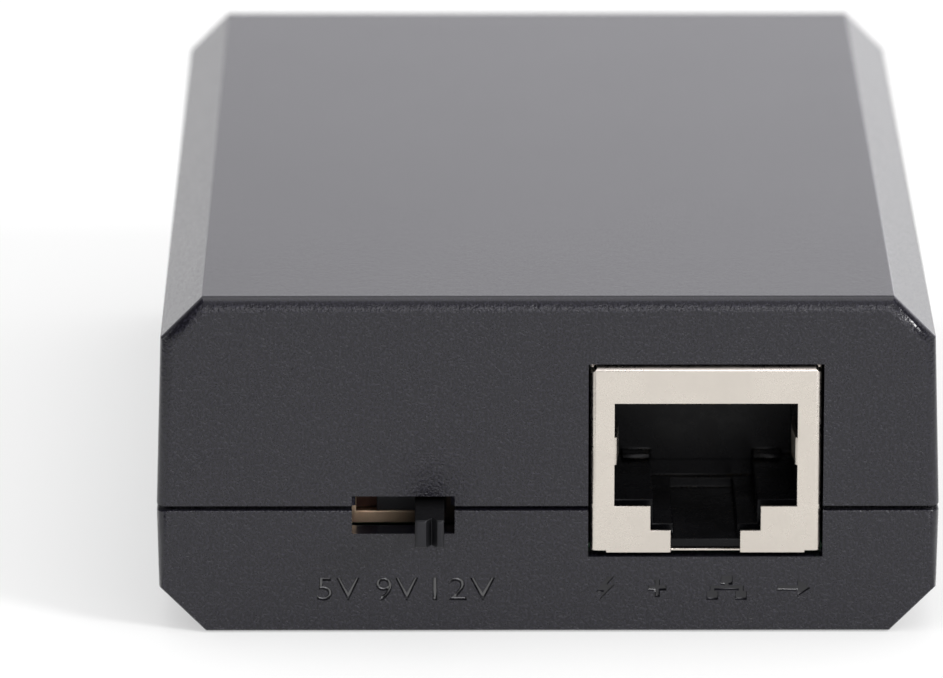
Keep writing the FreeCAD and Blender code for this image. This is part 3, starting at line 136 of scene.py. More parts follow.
class CaseLook(bpy.types.PropertyGroup):
    colour: bpy.props.FloatVectorProperty(
        name="Colour", description="Colour of the moulded case", subtype="COLOR", size=3, min=0, max=1,
        default=(0.008, 0.0075, 0.0115))
    grain: bpy.props.FloatProperty(
        name="Grain", description="Size of one pit of the spark texture", subtype="DISTANCE",
        default=0.2 * MM)
    grain_depth: bpy.props.FloatProperty(
        name="Grain depth", description="Depth of the spark texture", subtype="DISTANCE",
        default=0.028 * MM)
    top_grain: bpy.props.FloatProperty(
        name="Top grain", description="Share of the grain depth on faces that look up", default=0.1,
        min=0, max=1)
    corner_grain: bpy.props.FloatProperty(
        name="Corner grain", description="Share of the grain depth on the handled upright corners",
        default=0.4, min=0, max=1)
    roughness: bpy.props.FloatProperty(
        name="Roughness", description="Roughness between the pits", default=0.2, min=0, max=1)
    edge: bpy.props.FloatProperty(
        name="Edge", description="Rounding of the long edges", subtype="DISTANCE",
        default=0.08 * MM)
    end_round: bpy.props.FloatProperty(
        name="End round", description="Radius of the modelled rounds at the case's two ends",
        subtype="DISTANCE", default=0.8 * MM)
    upper_round: bpy.props.FloatProperty(
        name="Upper round", description="Radius of those rounds along the top", subtype="DISTANCE",
        default=1.0 * MM)
    lower_round: bpy.props.FloatProperty(
        name="Lower round", description="Radius of those rounds along the foot", subtype="DISTANCE",
        default=0.25 * MM)
    parting_height: bpy.props.FloatProperty(
        name="Parting height", description="Height of the parting line above the table",
        subtype="DISTANCE", default=9.0 * MM)
    parting_gap: bpy.props.FloatProperty(
        name="Parting gap", description="Height of the modelled gap between the shells",
        subtype="DISTANCE", default=0.28 * MM)
    rim_round: bpy.props.FloatProperty(
        name="Rim round", description="Rounding of the shells' edges along the parting line",
        subtype="DISTANCE", default=0.1 * MM)
    engraving_depth: bpy.props.FloatProperty(
        name="Engraving depth", description="Depth of the figures and signs", subtype="DISTANCE",
        default=0.28 * MM)
    figure_height: bpy.props.FloatProperty(
        name="Figure height", description="Height of the engraved figures", subtype="DISTANCE",
        default=1.7 * MM)
    figure_base: bpy.props.FloatProperty(
        name="Figure base", description="Height of the figures' foot above the table", subtype="DISTANCE",
        default=2.37 * MM)


class JackLook(bpy.types.PropertyGroup):
    nickel: bpy.props.FloatVectorProperty(
        name="Nickel", description="Colour of the shield's plating", subtype="COLOR", size=3, min=0, max=1,
        default=(0.62, 0.573, 0.515))
    plastic: bpy.props.FloatVectorProperty(
        name="Plastic", description="Colour of the jack's moulded block", subtype="COLOR", size=3, min=0,
        max=1, default=(0.0022, 0.0022, 0.003))
    edge: bpy.props.FloatProperty(
        name="Edge", description="Rounding of the sheet's cut edges", subtype="DISTANCE",
        default=0.05 * MM)


class SwitchLook(bpy.types.PropertyGroup):
    knob: bpy.props.FloatVectorProperty(
        name="Knob", description="Colour of the switch knob", subtype="COLOR", size=3, min=0, max=1,
        default=(0.008, 0.008, 0.0095))
    # Painted light: the knob's front is made paler than its own colour.
    knob_painted_light: bpy.props.FloatProperty(
        name="Knob painted light", description="How much paler the knob is in front than its own colour",
        default=2.0, min=1)
    frame: bpy.props.FloatVectorProperty(
        name="Frame", description="Colour of the switch's metal frame", subtype="COLOR", size=3, min=0,
        max=1, default=(1.0, 0.74, 0.5))
    # Painted shade: the frame's colour turns to this one towards its right end, where the slot's edge and
    # the knob would shade it.
    painted_shade: bpy.props.FloatVectorProperty(
        name="Painted shade", description="Colour of the painted shade at the frame's right end", subtype="COLOR", size=3, min=0,
        max=1, default=(0.03, 0.022, 0.017))
    painted_shade_start: bpy.props.FloatProperty(
        name="Tarnish start", description="Place along X where the painted shade on the frame begins",
        subtype="DISTANCE", default=-12.8 * MM)
    painted_shade_end: bpy.props.FloatProperty(
        name="Tarnish end", description="Place along X where the painted shade on the frame is full",
        subtype="DISTANCE", default=-8.6 * MM)
    laminate: bpy.props.FloatVectorProperty(
        name="Laminate", description="Colour of the switch's brown base", subtype="COLOR", size=3, min=0,
        max=1, default=(0.14, 0.05, 0.025))


class StageLook(bpy.types.PropertyGroup):
    floor: bpy.props.FloatVectorProperty(
        name="Floor", description="Colour of the table", subtype="COLOR", size=3, min=0, max=1,
        default=(0.55, 0.55, 0.55))
    glow: bpy.props.FloatProperty(
        name="Glow", description="Light added to the table as the camera sees it", default=0.44, min=0)
    key_power: bpy.props.FloatProperty(
        name="Key power", description="Power of the lamp at the right, in watts", default=6.4, min=0)
    top_power: bpy.props.FloatProperty(
        name="Top power", description="Power of the lamp above and behind, in watts", default=1.6,
        min=0)
    sky: bpy.props.FloatProperty(
        name="Sky", description="Brightness of the surroundings as a light", default=0.9, min=0)
    backdrop: bpy.props.FloatProperty(
        name="Backdrop", description="Brightness of the backdrop in reflections", default=1.5, min=0)
    softbox: bpy.props.FloatProperty(
        name="Softbox", description="Brightness of the softbox above the camera in reflections",
        default=2.6, min=0)
    overhead: bpy.props.FloatProperty(
        name="Overhead", description="Brightness of the room above in reflections", default=0.7, min=0)
    room: bpy.props.FloatProperty(
        name="Room", description="Brightness of the rest of the room in reflections", default=0.05, min=0)
    focal_length: bpy.props.FloatProperty(
        name="Focal length", description="Lens of the camera, in millimetres on a 36 mm sensor",
        default=348.8, min=1)
    distance: bpy.props.FloatProperty(
        name="Distance", description="From the camera to its target", subtype="DISTANCE",
        default=626.77 * MM)
    f_number: bpy.props.FloatProperty(
        name="F-number", description="Aperture, which sets how soft the far end is", default=55, min=1)
    pitch: bpy.props.FloatProperty(
        name="Pitch", description="How far the camera looks down", subtype="ANGLE",
        default=math.radians(16.256))
    yaw: bpy.props.FloatProperty(
        name="Yaw", description="How far the camera looks to the right", subtype="ANGLE",
        default=math.radians(0.159))
    target: bpy.props.FloatVectorProperty(
        name="Target", description="Point at the middle of the picture", subtype="XYZ", size=3,
        default=(-5.268 * MM, FRONT, 21.18 * MM))


# Shared ways of making meshes


def work_mesh(source):
    """A bmesh of a CAD node with its doubles merged and its flat faces whole."""
    bm = bmesh.new()
    bm.from_mesh(source.data)
    bmesh.ops.remove_doubles(bm, verts=bm.verts, dist=MERGE_DISTANCE)
    bmesh.ops.dissolve_limit(bm, angle_limit=FLAT_ANGLE, verts=bm.verts, edges=bm.edges)
    return bm


def new_piece(name, bm):
    """A mesh object at the origin from a bmesh, which is freed."""
    mesh = bpy.data.meshes.new(name)
    bm.to_mesh(mesh)
    bm.free()
    piece = bpy.data.objects.new(name, mesh)
    bpy.context.scene.collection.objects.link(piece)
    return piece


def round_long_edges(bm, width):
    """Rounds the blunt outer edges that run the length of the case."""
    blunt = []
    for edge in bm.edges:
        start, end = (vert.co for vert in edge.verts)
        if abs(start.y - end.y) < CASE_LENGTH * 0.9 or not edge.is_convex:
            continue
        if math.radians(30) < edge.calc_face_angle(0) < math.radians(60):
            blunt.append(edge)
    bmesh.ops.bevel(
        bm, geom=blunt, offset=width, segments=3, profile=0.5, affect="EDGES", material=-1,
        clamp_overlap=True)


def round_rim(bm, height, width):
    """Rounds the outer edge of a shell's parting rim, which widens the line that is seen."""
    rim = set()
    for vert in bm.verts:
        inset = min(CASE_LENGTH / 2 - abs(vert.co.y), CASE_WIDTH / 2 - abs(vert.co.x))
        if inset < RIM_REACH and abs(vert.co.z - height) < TOLERANCE:
            rim.add(vert)
    sharp = [edge for edge in bm.edges if edge.is_convex and rim.issuperset(edge.verts)]
    bmesh.ops.bevel(
        bm, geom=sharp, offset=width, segments=2, profile=0.5, affect="EDGES", material=-1,
        clamp_overlap=True)


def outer_planes(bm):
    """The planes along the case that every point of a shell lies behind, as normals and distances."""
    planes = {}
    for face in bm.faces:
        normal = face.normal
        if abs(normal.y) > 0.01:
            continue
        reach = normal.dot(face.verts[0].co)
        if all(normal.dot(vert.co) < reach + 0.01 * MM for vert in bm.verts):
            planes[tuple(round(part, 2) for part in normal)] = (normal.copy(), reach)
    return list(planes.values())


def resize_end_rounds(bm, low, high, old, new):
    """Gives the rounds at a shell's two ends another radius between two heights."""
    planes = outer_planes(bm)
    reach = old + TOLERANCE
    for vert in bm.verts:
        inset = CASE_LENGTH / 2 - abs(vert.co.y)
        if inset > reach or not low < vert.co.z < high:
            continue
        near = [(normal, limit - normal.dot(vert.co)) for normal, limit in planes
                if limit - normal.dot(vert.co) < reach]
        if not near:
            continue
        gain = new / old - 1
        (first, depth), (second, other) = near[0], near[-1]
        if len(near) == 1:
            shift = first * (-gain * depth)
        else:
            turn = first.x * second.z - first.z * second.x
            pull, other_pull = -gain * depth, -gain * other
            shift = Vector(((pull * second.z - other_pull * first.z) / turn, 0,
                            (first.x * other_pull - second.x * pull) / turn))
        vert.co += shift
        vert.co.y -= math.copysign(gain * inset, vert.co.y)


def stand_in(name, node, edge_width=0, rim=None, ends=None):
    """A working copy of a CAD node, shown in its place on the same body."""
    source = frame["nodes"][node]
    bm = work_mesh(source)
    if ends:
        resize_end_rounds(bm, *ends)
    if edge_width:
        round_long_edges(bm, edge_width)
    if rim:
        round_rim(bm, *rim)
    piece = new_piece(name, bm)
    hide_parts(node)
    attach(piece, source["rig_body"])
    return piece


def soften(piece, width, segments=2):
    """A small round on every sharp edge."""
    bevel = piece.modifiers.new("edges", "BEVEL")
    bevel.width = width
    bevel.segments = segments
    bevel.limit_method = "ANGLE"
    bevel.angle_limit = EDGE_ANGLE


def smooth(piece, angle=EDGE_ANGLE):
    """Smooth shading that keeps flat faces flat beside small rounds."""
    for face in piece.data.polygons:
        face.use_smooth = True
    piece.data.set_sharp_from_angle(angle=angle)
    weighted = piece.modifiers.new("flat faces", "WEIGHTED_NORMAL")
    weighted.keep_sharp = True


def engrave(piece, cutter, polishes):
    """Cuts the cutter's shape out of the piece, polished inside, and removes the cutter."""
    piece.data.materials.append(None)
    for polish in polishes:
        cutter.data.materials.append(polish)
    cut = piece.modifiers.new("engraving", "BOOLEAN")
    cut.operation = "DIFFERENCE"
    cut.solver = "EXACT"
    cut.material_mode = "TRANSFER"
    cut.object = cutter
    graph = bpy.context.evaluated_depsgraph_get()
    result = bpy.data.meshes.new_from_object(piece.evaluated_get(graph))
    piece.modifiers.remove(cut)
    piece.data = result
    bpy.data.objects.remove(cutter)


def figures(text, look):
    """A filled curve of a voltage."""
    curve = bpy.data.curves.new("figures", "FONT")
    curve.body = text
    curve.size = look.figure_height / CAPITAL_SHARE
    curve.space_character = LETTER_SPACING
    return curve


def sign(outline):
    """A filled curve from one closed outline, in millimetres above the figures' foot."""
    curve = bpy.data.curves.new("sign", "CURVE")
    curve.dimensions = "2D"
    curve.fill_mode = "BOTH"
    spline = curve.splines.new("POLY")
    spline.points.add(len(outline) - 1)
    for point, (x, y) in zip(spline.points, outline):
        point.co = (x * MM, y * MM, 0, 1)
    spline.use_cyclic_u = True
    return curve


def strokes(curve, left, right, look, polish):
    """A closed mesh of a curve's strokes between two places, narrower below than at the face."""
    slope = look.engraving_depth * STROKE_SLOPE
    curve.extrude = look.engraving_depth - slope
    curve.bevel_depth = slope
    curve.bevel_resolution = 4
    curve.resolution_u = 6
    curve.offset = -slope * STROKE_NARROWING
    shape = bpy.data.objects.new("strokes", curve)
    bpy.context.scene.collection.objects.link(shape)
    graph = bpy.context.evaluated_depsgraph_get()
    mesh = bpy.data.meshes.new_from_object(shape.evaluated_get(graph))
    for face in mesh.polygons:
        face.material_index = polish
    bpy.data.objects.remove(shape)
    start = min(vert.co.x for vert in mesh.vertices)
    end = max(vert.co.x for vert in mesh.vertices)
    stretch = Matrix.Diagonal(((right - left) / (end - start), 1, 1, 1))
    upright = Matrix.Translation((0, FRONT, 0)) @ Matrix.Rotation(math.pi / 2, 4, "X")
    mesh.transform(upright @ Matrix.Translation((left, look.figure_base, 0)) @ stretch
                   @ Matrix.Translation((-start, 0, 0)))
    return mesh


def joined(meshes):
    """One object from closed meshes that don't touch one another."""
    bm = bmesh.new()
    for mesh in meshes:
        bm.from_mesh(mesh)
        bpy.data.meshes.remove(mesh)
    bmesh.ops.remove_doubles(bm, verts=bm.verts, dist=0.001 * MM)
    bmesh.ops.dissolve_degenerate(bm, edges=bm.edges, dist=0.001 * MM)
    bmesh.ops.recalc_face_normals(bm, faces=bm.faces)
    return new_piece("strokes", bm)


# Shared ways of making materials


class Finish:
    """A node material with one Principled shader, built by naming what feeds each socket."""

    def __init__(self, name, colour, roughness, metallic=0.0, coat=0.0):
        self.material = bpy.data.materials.new(name)
        self.material.use_nodes = True
        self.nodes = self.material.node_tree.nodes
        self.shader = self.nodes["Principled BSDF"]
        self.shader.inputs["Base Color"].default_value = (*colour, 1)
        self.shader.inputs["Roughness"].default_value = roughness
        self.shader.inputs["Metallic"].default_value = metallic
        self.shader.inputs["Coat Weight"].default_value = coat
        place = self.nodes.new("ShaderNodeTexCoord")
        self.coordinates, self.normals = place.outputs["Object"], place.outputs["Normal"]

    def link(self, source, target):
        self.material.node_tree.links.new(source, target)

    def add(self, kind, **inputs):
        """A node with its inputs set by name, from numbers or other nodes' outputs."""
        node = self.nodes.new(kind)
        for name, value in inputs.items():
            socket = node.inputs[name.replace("_", " ")]
            if isinstance(value, bpy.types.NodeSocket):
                self.link(value, socket)
            else:
                socket.default_value = value
        return node

    def group(self, tree, **inputs):
        node = self.nodes.new("ShaderNodeGroup")
        node.node_tree = tree
        self.link(self.coordinates, node.inputs["Place"])
        for name, value in inputs.items():
            node.inputs[name.replace("_", " ")].default_value = value
        return node

    def feed(self, socket, source):
        self.link(source, self.shader.inputs[socket])

    def bump(self, height, distance):
        node = self.add("ShaderNodeBump", Height=height, Distance=distance, Strength=1.0)
        self.feed("Normal", node.outputs["Normal"])
        return node


def new_group(name, inputs, outputs):
    tree = bpy.data.node_groups.new(name, "ShaderNodeTree")
    tree.interface.new_socket("Place", in_out="INPUT", socket_type="NodeSocketVector")
    for label, kind, default in inputs:
        socket = tree.interface.new_socket(label, in_out="INPUT", socket_type=kind)
        socket.default_value = default
    for label, kind in outputs:
        tree.interface.new_socket(label, in_out="OUTPUT", socket_type=kind)
    return tree, tree.nodes.new("NodeGroupInput"), tree.nodes.new("NodeGroupOutput")


def noise(tree, place, scale, detail, roughness=0.5):
    node = tree.nodes.new("ShaderNodeTexNoise")
    tree.links.new(place, node.inputs["Vector"])
    tree.links.new(scale, node.inputs["Scale"])
    node.inputs["Detail"].default_value = detail
    node.inputs["Roughness"].default_value = roughness
    return node.outputs["Fac"]


def ramp(tree, value, low, high, to_low=0.0, to_high=1.0):
    node = tree.nodes.new("ShaderNodeMapRange")
    for name, number in (("From Min", low), ("From Max", high), ("To Min", to_low), ("To Max", to_high)):
        node.inputs[name].default_value = number
    tree.links.new(value, node.inputs["Value"])
    return node.outputs["Result"]


def blend_colours(tree, factor, first, second):
    node = tree.nodes.new("ShaderNodeMix")
    node.data_type = "RGBA"
    for socket, value in ((node.inputs[0], factor), (node.inputs[6], first), (node.inputs[7], second)):
        if isinstance(value, bpy.types.NodeSocket):
            tree.links.new(value, socket)
        else:
            socket.default_value = value
    return node.outputs[2]


def combined(tree, operation, *values):
    """Folds outputs and numbers into one value by ADD, MULTIPLY or MAXIMUM."""
    total = values[0]
    for value in values[1:]:
        node = tree.nodes.new("ShaderNodeMath")
        node.operation = operation
        tree.links.new(total, node.inputs[0])
        if isinstance(value, bpy.types.NodeSocket):
            tree.links.new(value, node.inputs[1])
        else:
            node.inputs[1].default_value = value
        total = node.outputs[0]
    return total


def spark_texture():
    """Fine pits of a spark-eroded mould: a height, a roughness and paler pits, partly the grain's own tone
    and partly painted glints.
    """
    found = bpy.data.node_groups.get("Spark texture")
    if found:
        return found
    tree, given, out = new_group(
        "Spark texture",
        [("Frequency", "NodeSocketFloat", 6000.0), ("Roughness", "NodeSocketFloat", 0.4),
         ("Colour", "NodeSocketColor", (0.04, 0.04, 0.045, 1)),
         ("Worn", "NodeSocketColor", (0.05, 0.05, 0.056, 1))],
        [("Height", "NodeSocketFloat"), ("Roughness", "NodeSocketFloat"), ("Colour", "NodeSocketColor")])
    place, frequency = given.outputs["Place"], given.outputs["Frequency"]
    pits = noise(tree, place, frequency, 2.0, 0.65)
    swells = noise(tree, place, combined(tree, "MULTIPLY", frequency, 0.31), 1.0)
    patches = noise(tree, place, combined(tree, "MULTIPLY", frequency, 0.02), 3.0)
    height = combined(
        tree, "ADD", ramp(tree, pits, 0.3, 0.7), ramp(tree, swells, 0.3, 0.7, 0, 0.5))
    tree.links.new(height, out.inputs["Height"])
    rough = combined(
        tree, "ADD", given.outputs["Roughness"], ramp(tree, pits, 0.35, 0.7, -0.05, 0.06),
        ramp(tree, patches, 0.35, 0.65, -0.006, 0.006))
    tree.links.new(rough, out.inputs["Roughness"])
    # Paler pits: partly grain, partly painted glints.
    colour = blend_colours(
        tree, ramp(tree, pits, 0.45, 0.75), given.outputs["Colour"], given.outputs["Worn"])
    tree.links.new(colour, out.inputs["Colour"])
    return tree


def mottle():
    """Uneven plating, lacquer or moulding: two scales of patches for colour, roughness and height."""
    found = bpy.data.node_groups.get("Mottle")
    if found:
        return found
    tree, given, out = new_group(
        "Mottle",
        [("Fine", "NodeSocketFloat", 4000.0), ("Broad", "NodeSocketFloat", 300.0),
         ("Roughness", "NodeSocketFloat", 0.3), ("Colour", "NodeSocketColor", (0.5, 0.5, 0.5, 1)),
         ("Other", "NodeSocketColor", (0.4, 0.4, 0.4, 1))],
        [("Height", "NodeSocketFloat"), ("Roughness", "NodeSocketFloat"), ("Colour", "NodeSocketColor")])
    place = given.outputs["Place"]
    fine = noise(tree, place, given.outputs["Fine"], 3.0, 0.6)
    broad = noise(tree, place, given.outputs["Broad"], 4.0, 0.55)
    height = combined(tree, "ADD", ramp(tree, fine, 0.3, 0.7), ramp(tree, broad, 0.3, 0.7))
    tree.links.new(height, out.inputs["Height"])
    rough = combined(
        tree, "ADD", given.outputs["Roughness"], ramp(tree, fine, 0.3, 0.7, -0.05, 0.05),
        ramp(tree, broad, 0.35, 0.65, -0.05, 0.07))
    tree.links.new(rough, out.inputs["Roughness"])
    colour = blend_colours(
        tree, ramp(tree, broad, 0.35, 0.7), given.outputs["Colour"], given.outputs["Other"])
    tree.links.new(colour, out.inputs["Colour"])
    return tree


def shade_of(colour, factor):
    return (*(min(1.0, part * factor) for part in colour), 1)


def mottled_finish(name, colour, roughness, metallic=0.0, coat=0.0, fine=4000.0, broad=300.0,
                   depth=0.003 * MM, other=0.85, specular=0.5):
    """A finish with slight patches, at the scale of the piece."""
    found = bpy.data.materials.get(name)
    if found:
        return found
    finish = Finish(name, colour, roughness, metallic, coat)
    finish.shader.inputs["Specular IOR Level"].default_value = specular
    spots = finish.group(
        mottle(), Fine=fine, Broad=broad, Roughness=roughness, Colour=(*colour, 1),
        Other=shade_of(colour, other))
    finish.feed("Base Color", spots.outputs["Colour"])
    finish.feed("Roughness", spots.outputs["Roughness"])
    finish.bump(spots.outputs["Height"], depth)
    return finish.material


def painted_shade_plate_finish(name, bright, shaded, start, end):
    """A plate whose colour goes along X from the bright one to painted shade."""
    finish = Finish(name, bright, DULL_ROUGHNESS, metallic=0.85)
    parts = finish.add("ShaderNodeSeparateXYZ", Vector=finish.coordinates)
    tree = finish.material.node_tree
    # Painted shade: the plate's colour darkens along X towards the knob and the slot's right end.
    fade = ramp(tree, parts.outputs["X"], start, end)
    spots = finish.group(
        mottle(), Roughness=DULL_ROUGHNESS, Colour=(*bright, 1), Other=shade_of(bright, 0.6))
    finish.feed("Base Color", blend_colours(tree, fade, spots.outputs["Colour"], (*shaded, 1)))
    finish.feed("Roughness", spots.outputs["Roughness"])
    return finish.material


def case_finish(look):
    """Near-black moulded plastic with a fine spark texture."""
    finish = Finish("Housing plastic", look.colour, look.roughness)
    finish.shader.inputs["Specular IOR Level"].default_value = SHELL_SPECULAR
    pits = finish.group(
        spark_texture(), Frequency=1 / look.grain, Roughness=look.roughness,
        Colour=(*look.colour, 1), Worn=shade_of(look.colour, GRAIN_AND_GLINT_TONE))
    finish.feed("Base Color", pits.outputs["Colour"])
    finish.feed("Roughness", pits.outputs["Roughness"])
    relief = finish.bump(pits.outputs["Height"], look.grain_depth)
    facing = finish.add("ShaderNodeSeparateXYZ", Vector=finish.normals)
    tree = finish.material.node_tree
    across, along = facing.outputs["X"], facing.outputs["Y"]
    cornerwise = combined(tree, "MULTIPLY", across, across, along, along)
    corner = ramp(tree, cornerwise, *CORNERWISE, 1, look.corner_grain)
    fade = ramp(tree, facing.outputs["Z"], *UPWARD, 1.0, look.top_grain)
    finish.link(combined(tree, "MULTIPLY", corner, fade), relief.inputs["Strength"])
    return finish.material


def knob_finish(look):
    """Moulded plastic with painted light, paler than its colour in front, and painted shade, darker than
    its colour on top and the other sides.
    """
    finish = Finish("Knob plastic", look.knob, 0.4)
    finish.shader.inputs["Specular IOR Level"].default_value = 0.25
    tree = finish.material.node_tree
    facing = finish.add("ShaderNodeSeparateXYZ", Vector=finish.normals)
    front = ramp(tree, facing.outputs["Y"], -0.8, -0.3, 1, 0)
    shaded_tone, other = (shade_of(look.knob, factor) for factor in KNOB_PAINTED_SHADE_TONES)
    spots = finish.group(
        mottle(), Fine=3000.0, Roughness=DULL_ROUGHNESS, Colour=shaded_tone, Other=other)
    # Painted light on the front and painted shade elsewhere, blended by which way the face looks.
    painted_front_light = shade_of(look.knob, look.knob_painted_light)
    finish.feed("Base Color", blend_colours(tree, front, spots.outputs["Colour"], painted_front_light))
    finish.feed("Roughness", spots.outputs["Roughness"])
    return finish.material


def dress(piece, material):
    """Gives a piece its material, in its first slot where it has one."""
    if piece.data.materials:
        piece.data.materials[0] = material
    else:
        piece.data.materials.append(material)


def dress_nodes(names, material):
    for name in names:
        dress(frame["nodes"][name], material)


# The pieces


def mirrored(right):
    """An outline from its right half, bottom to top."""
    return right + [(-x, y) for x, y in reversed(right)]


def port_signs():
    """Bolt, plus, network and arrow under the jack, each after its shift from the jack's middle."""
    bolt = [(0.2, 1.7), (-0.65, 0.6), (-0.1, 0.6), (-0.4, 0), (0.65, 1.1), (0.1, 1.1), (0.65, 1.7)]
    plus = mirrored([(0.17, 0.22), (0.17, 0.68), (0.63, 0.68), (0.63, 1.02), (0.17, 1.02), (0.17, 1.48)])
    network = mirrored([
        (0.83, 0.7), (0.83, 0.6), (0.6, 0.6), (0.6, 0), (1.4, 0), (1.4, 0.6), (1.17, 0.6), (1.17, 1.02),
        (0.17, 1.02), (0.17, 1.1), (0.4, 1.1), (0.4, 1.7)])
    arrow = [(-1.2, 0.68), (0.2, 0.68), (0.2, 0.25), (1.1, 0.85), (0.2, 1.45), (0.2, 1.02), (-1.2, 1.02)]
    return (-6.9, bolt), (-3.3, plus), (1.5, network), (6.2, arrow)


def case_strokes(look):
    """Every figure and sign of the front face as one cutter."""
    low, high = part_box("input_jack_shield")
    middle = (low.x + high.x) / 2
    meshes = []
    for text, left, right in FIGURES:
        meshes.append(strokes(figures(text, look), left, right, look, FIGURE_POLISH))
    for shift, outline in port_signs():
        left, right = (middle + (shift + end(x for x, y in outline)) * MM for end in (min, max))
        meshes.append(strokes(sign(outline), left, right, look, SIGN_POLISH))
    return joined(meshes)


class SPLITTER_OT_case(bpy.types.Operator):
    """Textured shells, with the voltages and port signs engraved in the lower one"""
    bl_idname = "splitter.case"
    bl_label = "Case"

    def execute(self, context):
        look = context.scene.splitter_case
        material = case_finish(look)
        parting, half_gap = look.parting_height, look.parting_gap / 2
        above, below = (1.6 * parting, 4 * parting), (-MM, 0.6 * parting)
        upper = stand_in(
            "case_top", "upper_shell", look.edge, rim=(parting + half_gap, look.rim_round),
            ends=(*above, look.end_round, look.upper_round))
        lower = stand_in(
            "case_base", "lower_shell", look.edge, rim=(parting - half_gap, look.rim_round),
            ends=(*below, look.end_round, look.lower_round))
        polishes = []
        for name, specular, coat in POLISHES:
            polish = Finish(name, look.colour, POLISH_ROUGHNESS, coat=coat)
            polish.shader.inputs["Specular IOR Level"].default_value = specular
            polishes.append(polish.material)
        engrave(lower, case_strokes(look), polishes)
        for shell in (upper, lower):
            smooth(shell, angle=math.radians(28))
            dress(shell, material)
        return {"FINISHED"}


class SPLITTER_OT_jacks(bpy.types.Operator):
    """Plated shields with softened edges, glossy blocks and gold contacts"""
    bl_idname = "splitter.jacks"
    bl_label = "Jacks"

    def execute(self, context):
        look = context.scene.splitter_jack
        nickel = mottled_finish(
            "Satin nickel", look.nickel, 0.3, metallic=1.0, fine=2500.0, broad=260.0,
            depth=0.004 * MM, other=0.93)
        plastic = mottled_finish(
            "Jack plastic", look.plastic, 0.27, fine=1800.0, depth=0.002 * MM, specular=0.16)
        gold = mottled_finish("Gold plate", (0.85, 0.6, 0.22), 0.22, metallic=1.0)
        for side in ("input", "output"):
            shield = stand_in(f"{side}_shield", f"{side}_jack_shield")
            soften(shield, look.edge)
            smooth(shield)
            dress(shield, nickel)
            block = stand_in(f"{side}_block", f"{side}_jack_insulator")
            soften(block, look.edge * 2)
            smooth(block)
            dress(block, plastic)
            dress_nodes([f"{side}_jack_contact_{n}" for n in range(1, 9)], gold)
        return {"FINISHED"}


class SPLITTER_OT_switch(bpy.types.Operator):
    """Satin knob with painted light in front and painted shade elsewhere, metal frame with painted shade
    towards its right end, brown base and tinned terminals
    """
    bl_idname = "splitter.switch"
    bl_label = "Voltage switch"

    def execute(self, context):
        look = context.scene.splitter_switch
        knob = stand_in("voltage_knob", "switch_knob")
        soften(knob, 0.06 * MM)
        smooth(knob)
        dress(knob, knob_finish(look))
        plate = stand_in("voltage_switch_frame", "switch_frame")
        soften(plate, 0.08 * MM, 3)
        smooth(plate)
        # The plate's right end is painted shade.
        painted_shade_plate = painted_shade_plate_finish(
            "Plate with painted shade", look.frame, look.painted_shade, look.painted_shade_start, look.painted_shade_end)
        dress(plate, painted_shade_plate)
        laminate = mottled_finish("Brown laminate", look.laminate, 0.5, other=0.6)
        dress_nodes(["switch_base"], laminate)
        tin = mottled_finish("Tinned metal", (0.62, 0.6, 0.57), 0.3, metallic=1.0)
        terminals = [f"switch_terminal_{n}" for n in range(1, 5)]
        dress_nodes(["switch_wiper", *terminals], tin)
        return {"FINISHED"}


class SPLITTER_OT_outlet(bpy.types.Operator):
    """Glossy outlet block with plated pin, spring and terminal"""
    bl_idname = "splitter.outlet"
    bl_label = "DC outlet"

    def execute(self, context):
        block = stand_in("outlet_block", "dc_jack_body")
        soften(block, 0.12 * MM, 3)
        smooth(block)
        plastic = mottled_finish("Outlet plastic", (0.014, 0.014, 0.015), 0.3, fine=1500.0)
        dress(block, plastic)
        plate = mottled_finish("Outlet plating", (0.72, 0.69, 0.64), 0.2, metallic=1.0)
        dress_nodes(["dc_jack_pin", "dc_jack_spring", "dc_jack_terminal"], plate)
        return {"FINISHED"}


class SPLITTER_OT_screws(bpy.types.Operator):
    """Zinc-plated screws"""
    bl_idname = "splitter.screws"
    bl_label = "Case screws"

    def execute(self, context):
        zinc = mottled_finish("Zinc plate", (0.5, 0.5, 0.52), 0.32, metallic=1.0, broad=600.0)
        for number in range(1, 5):
            screw = stand_in(f"screw_{number}", f"case_screw_{number}")
            soften(screw, 0.06 * MM)
            smooth(screw)
            dress(screw, zinc)
        return {"FINISHED"}


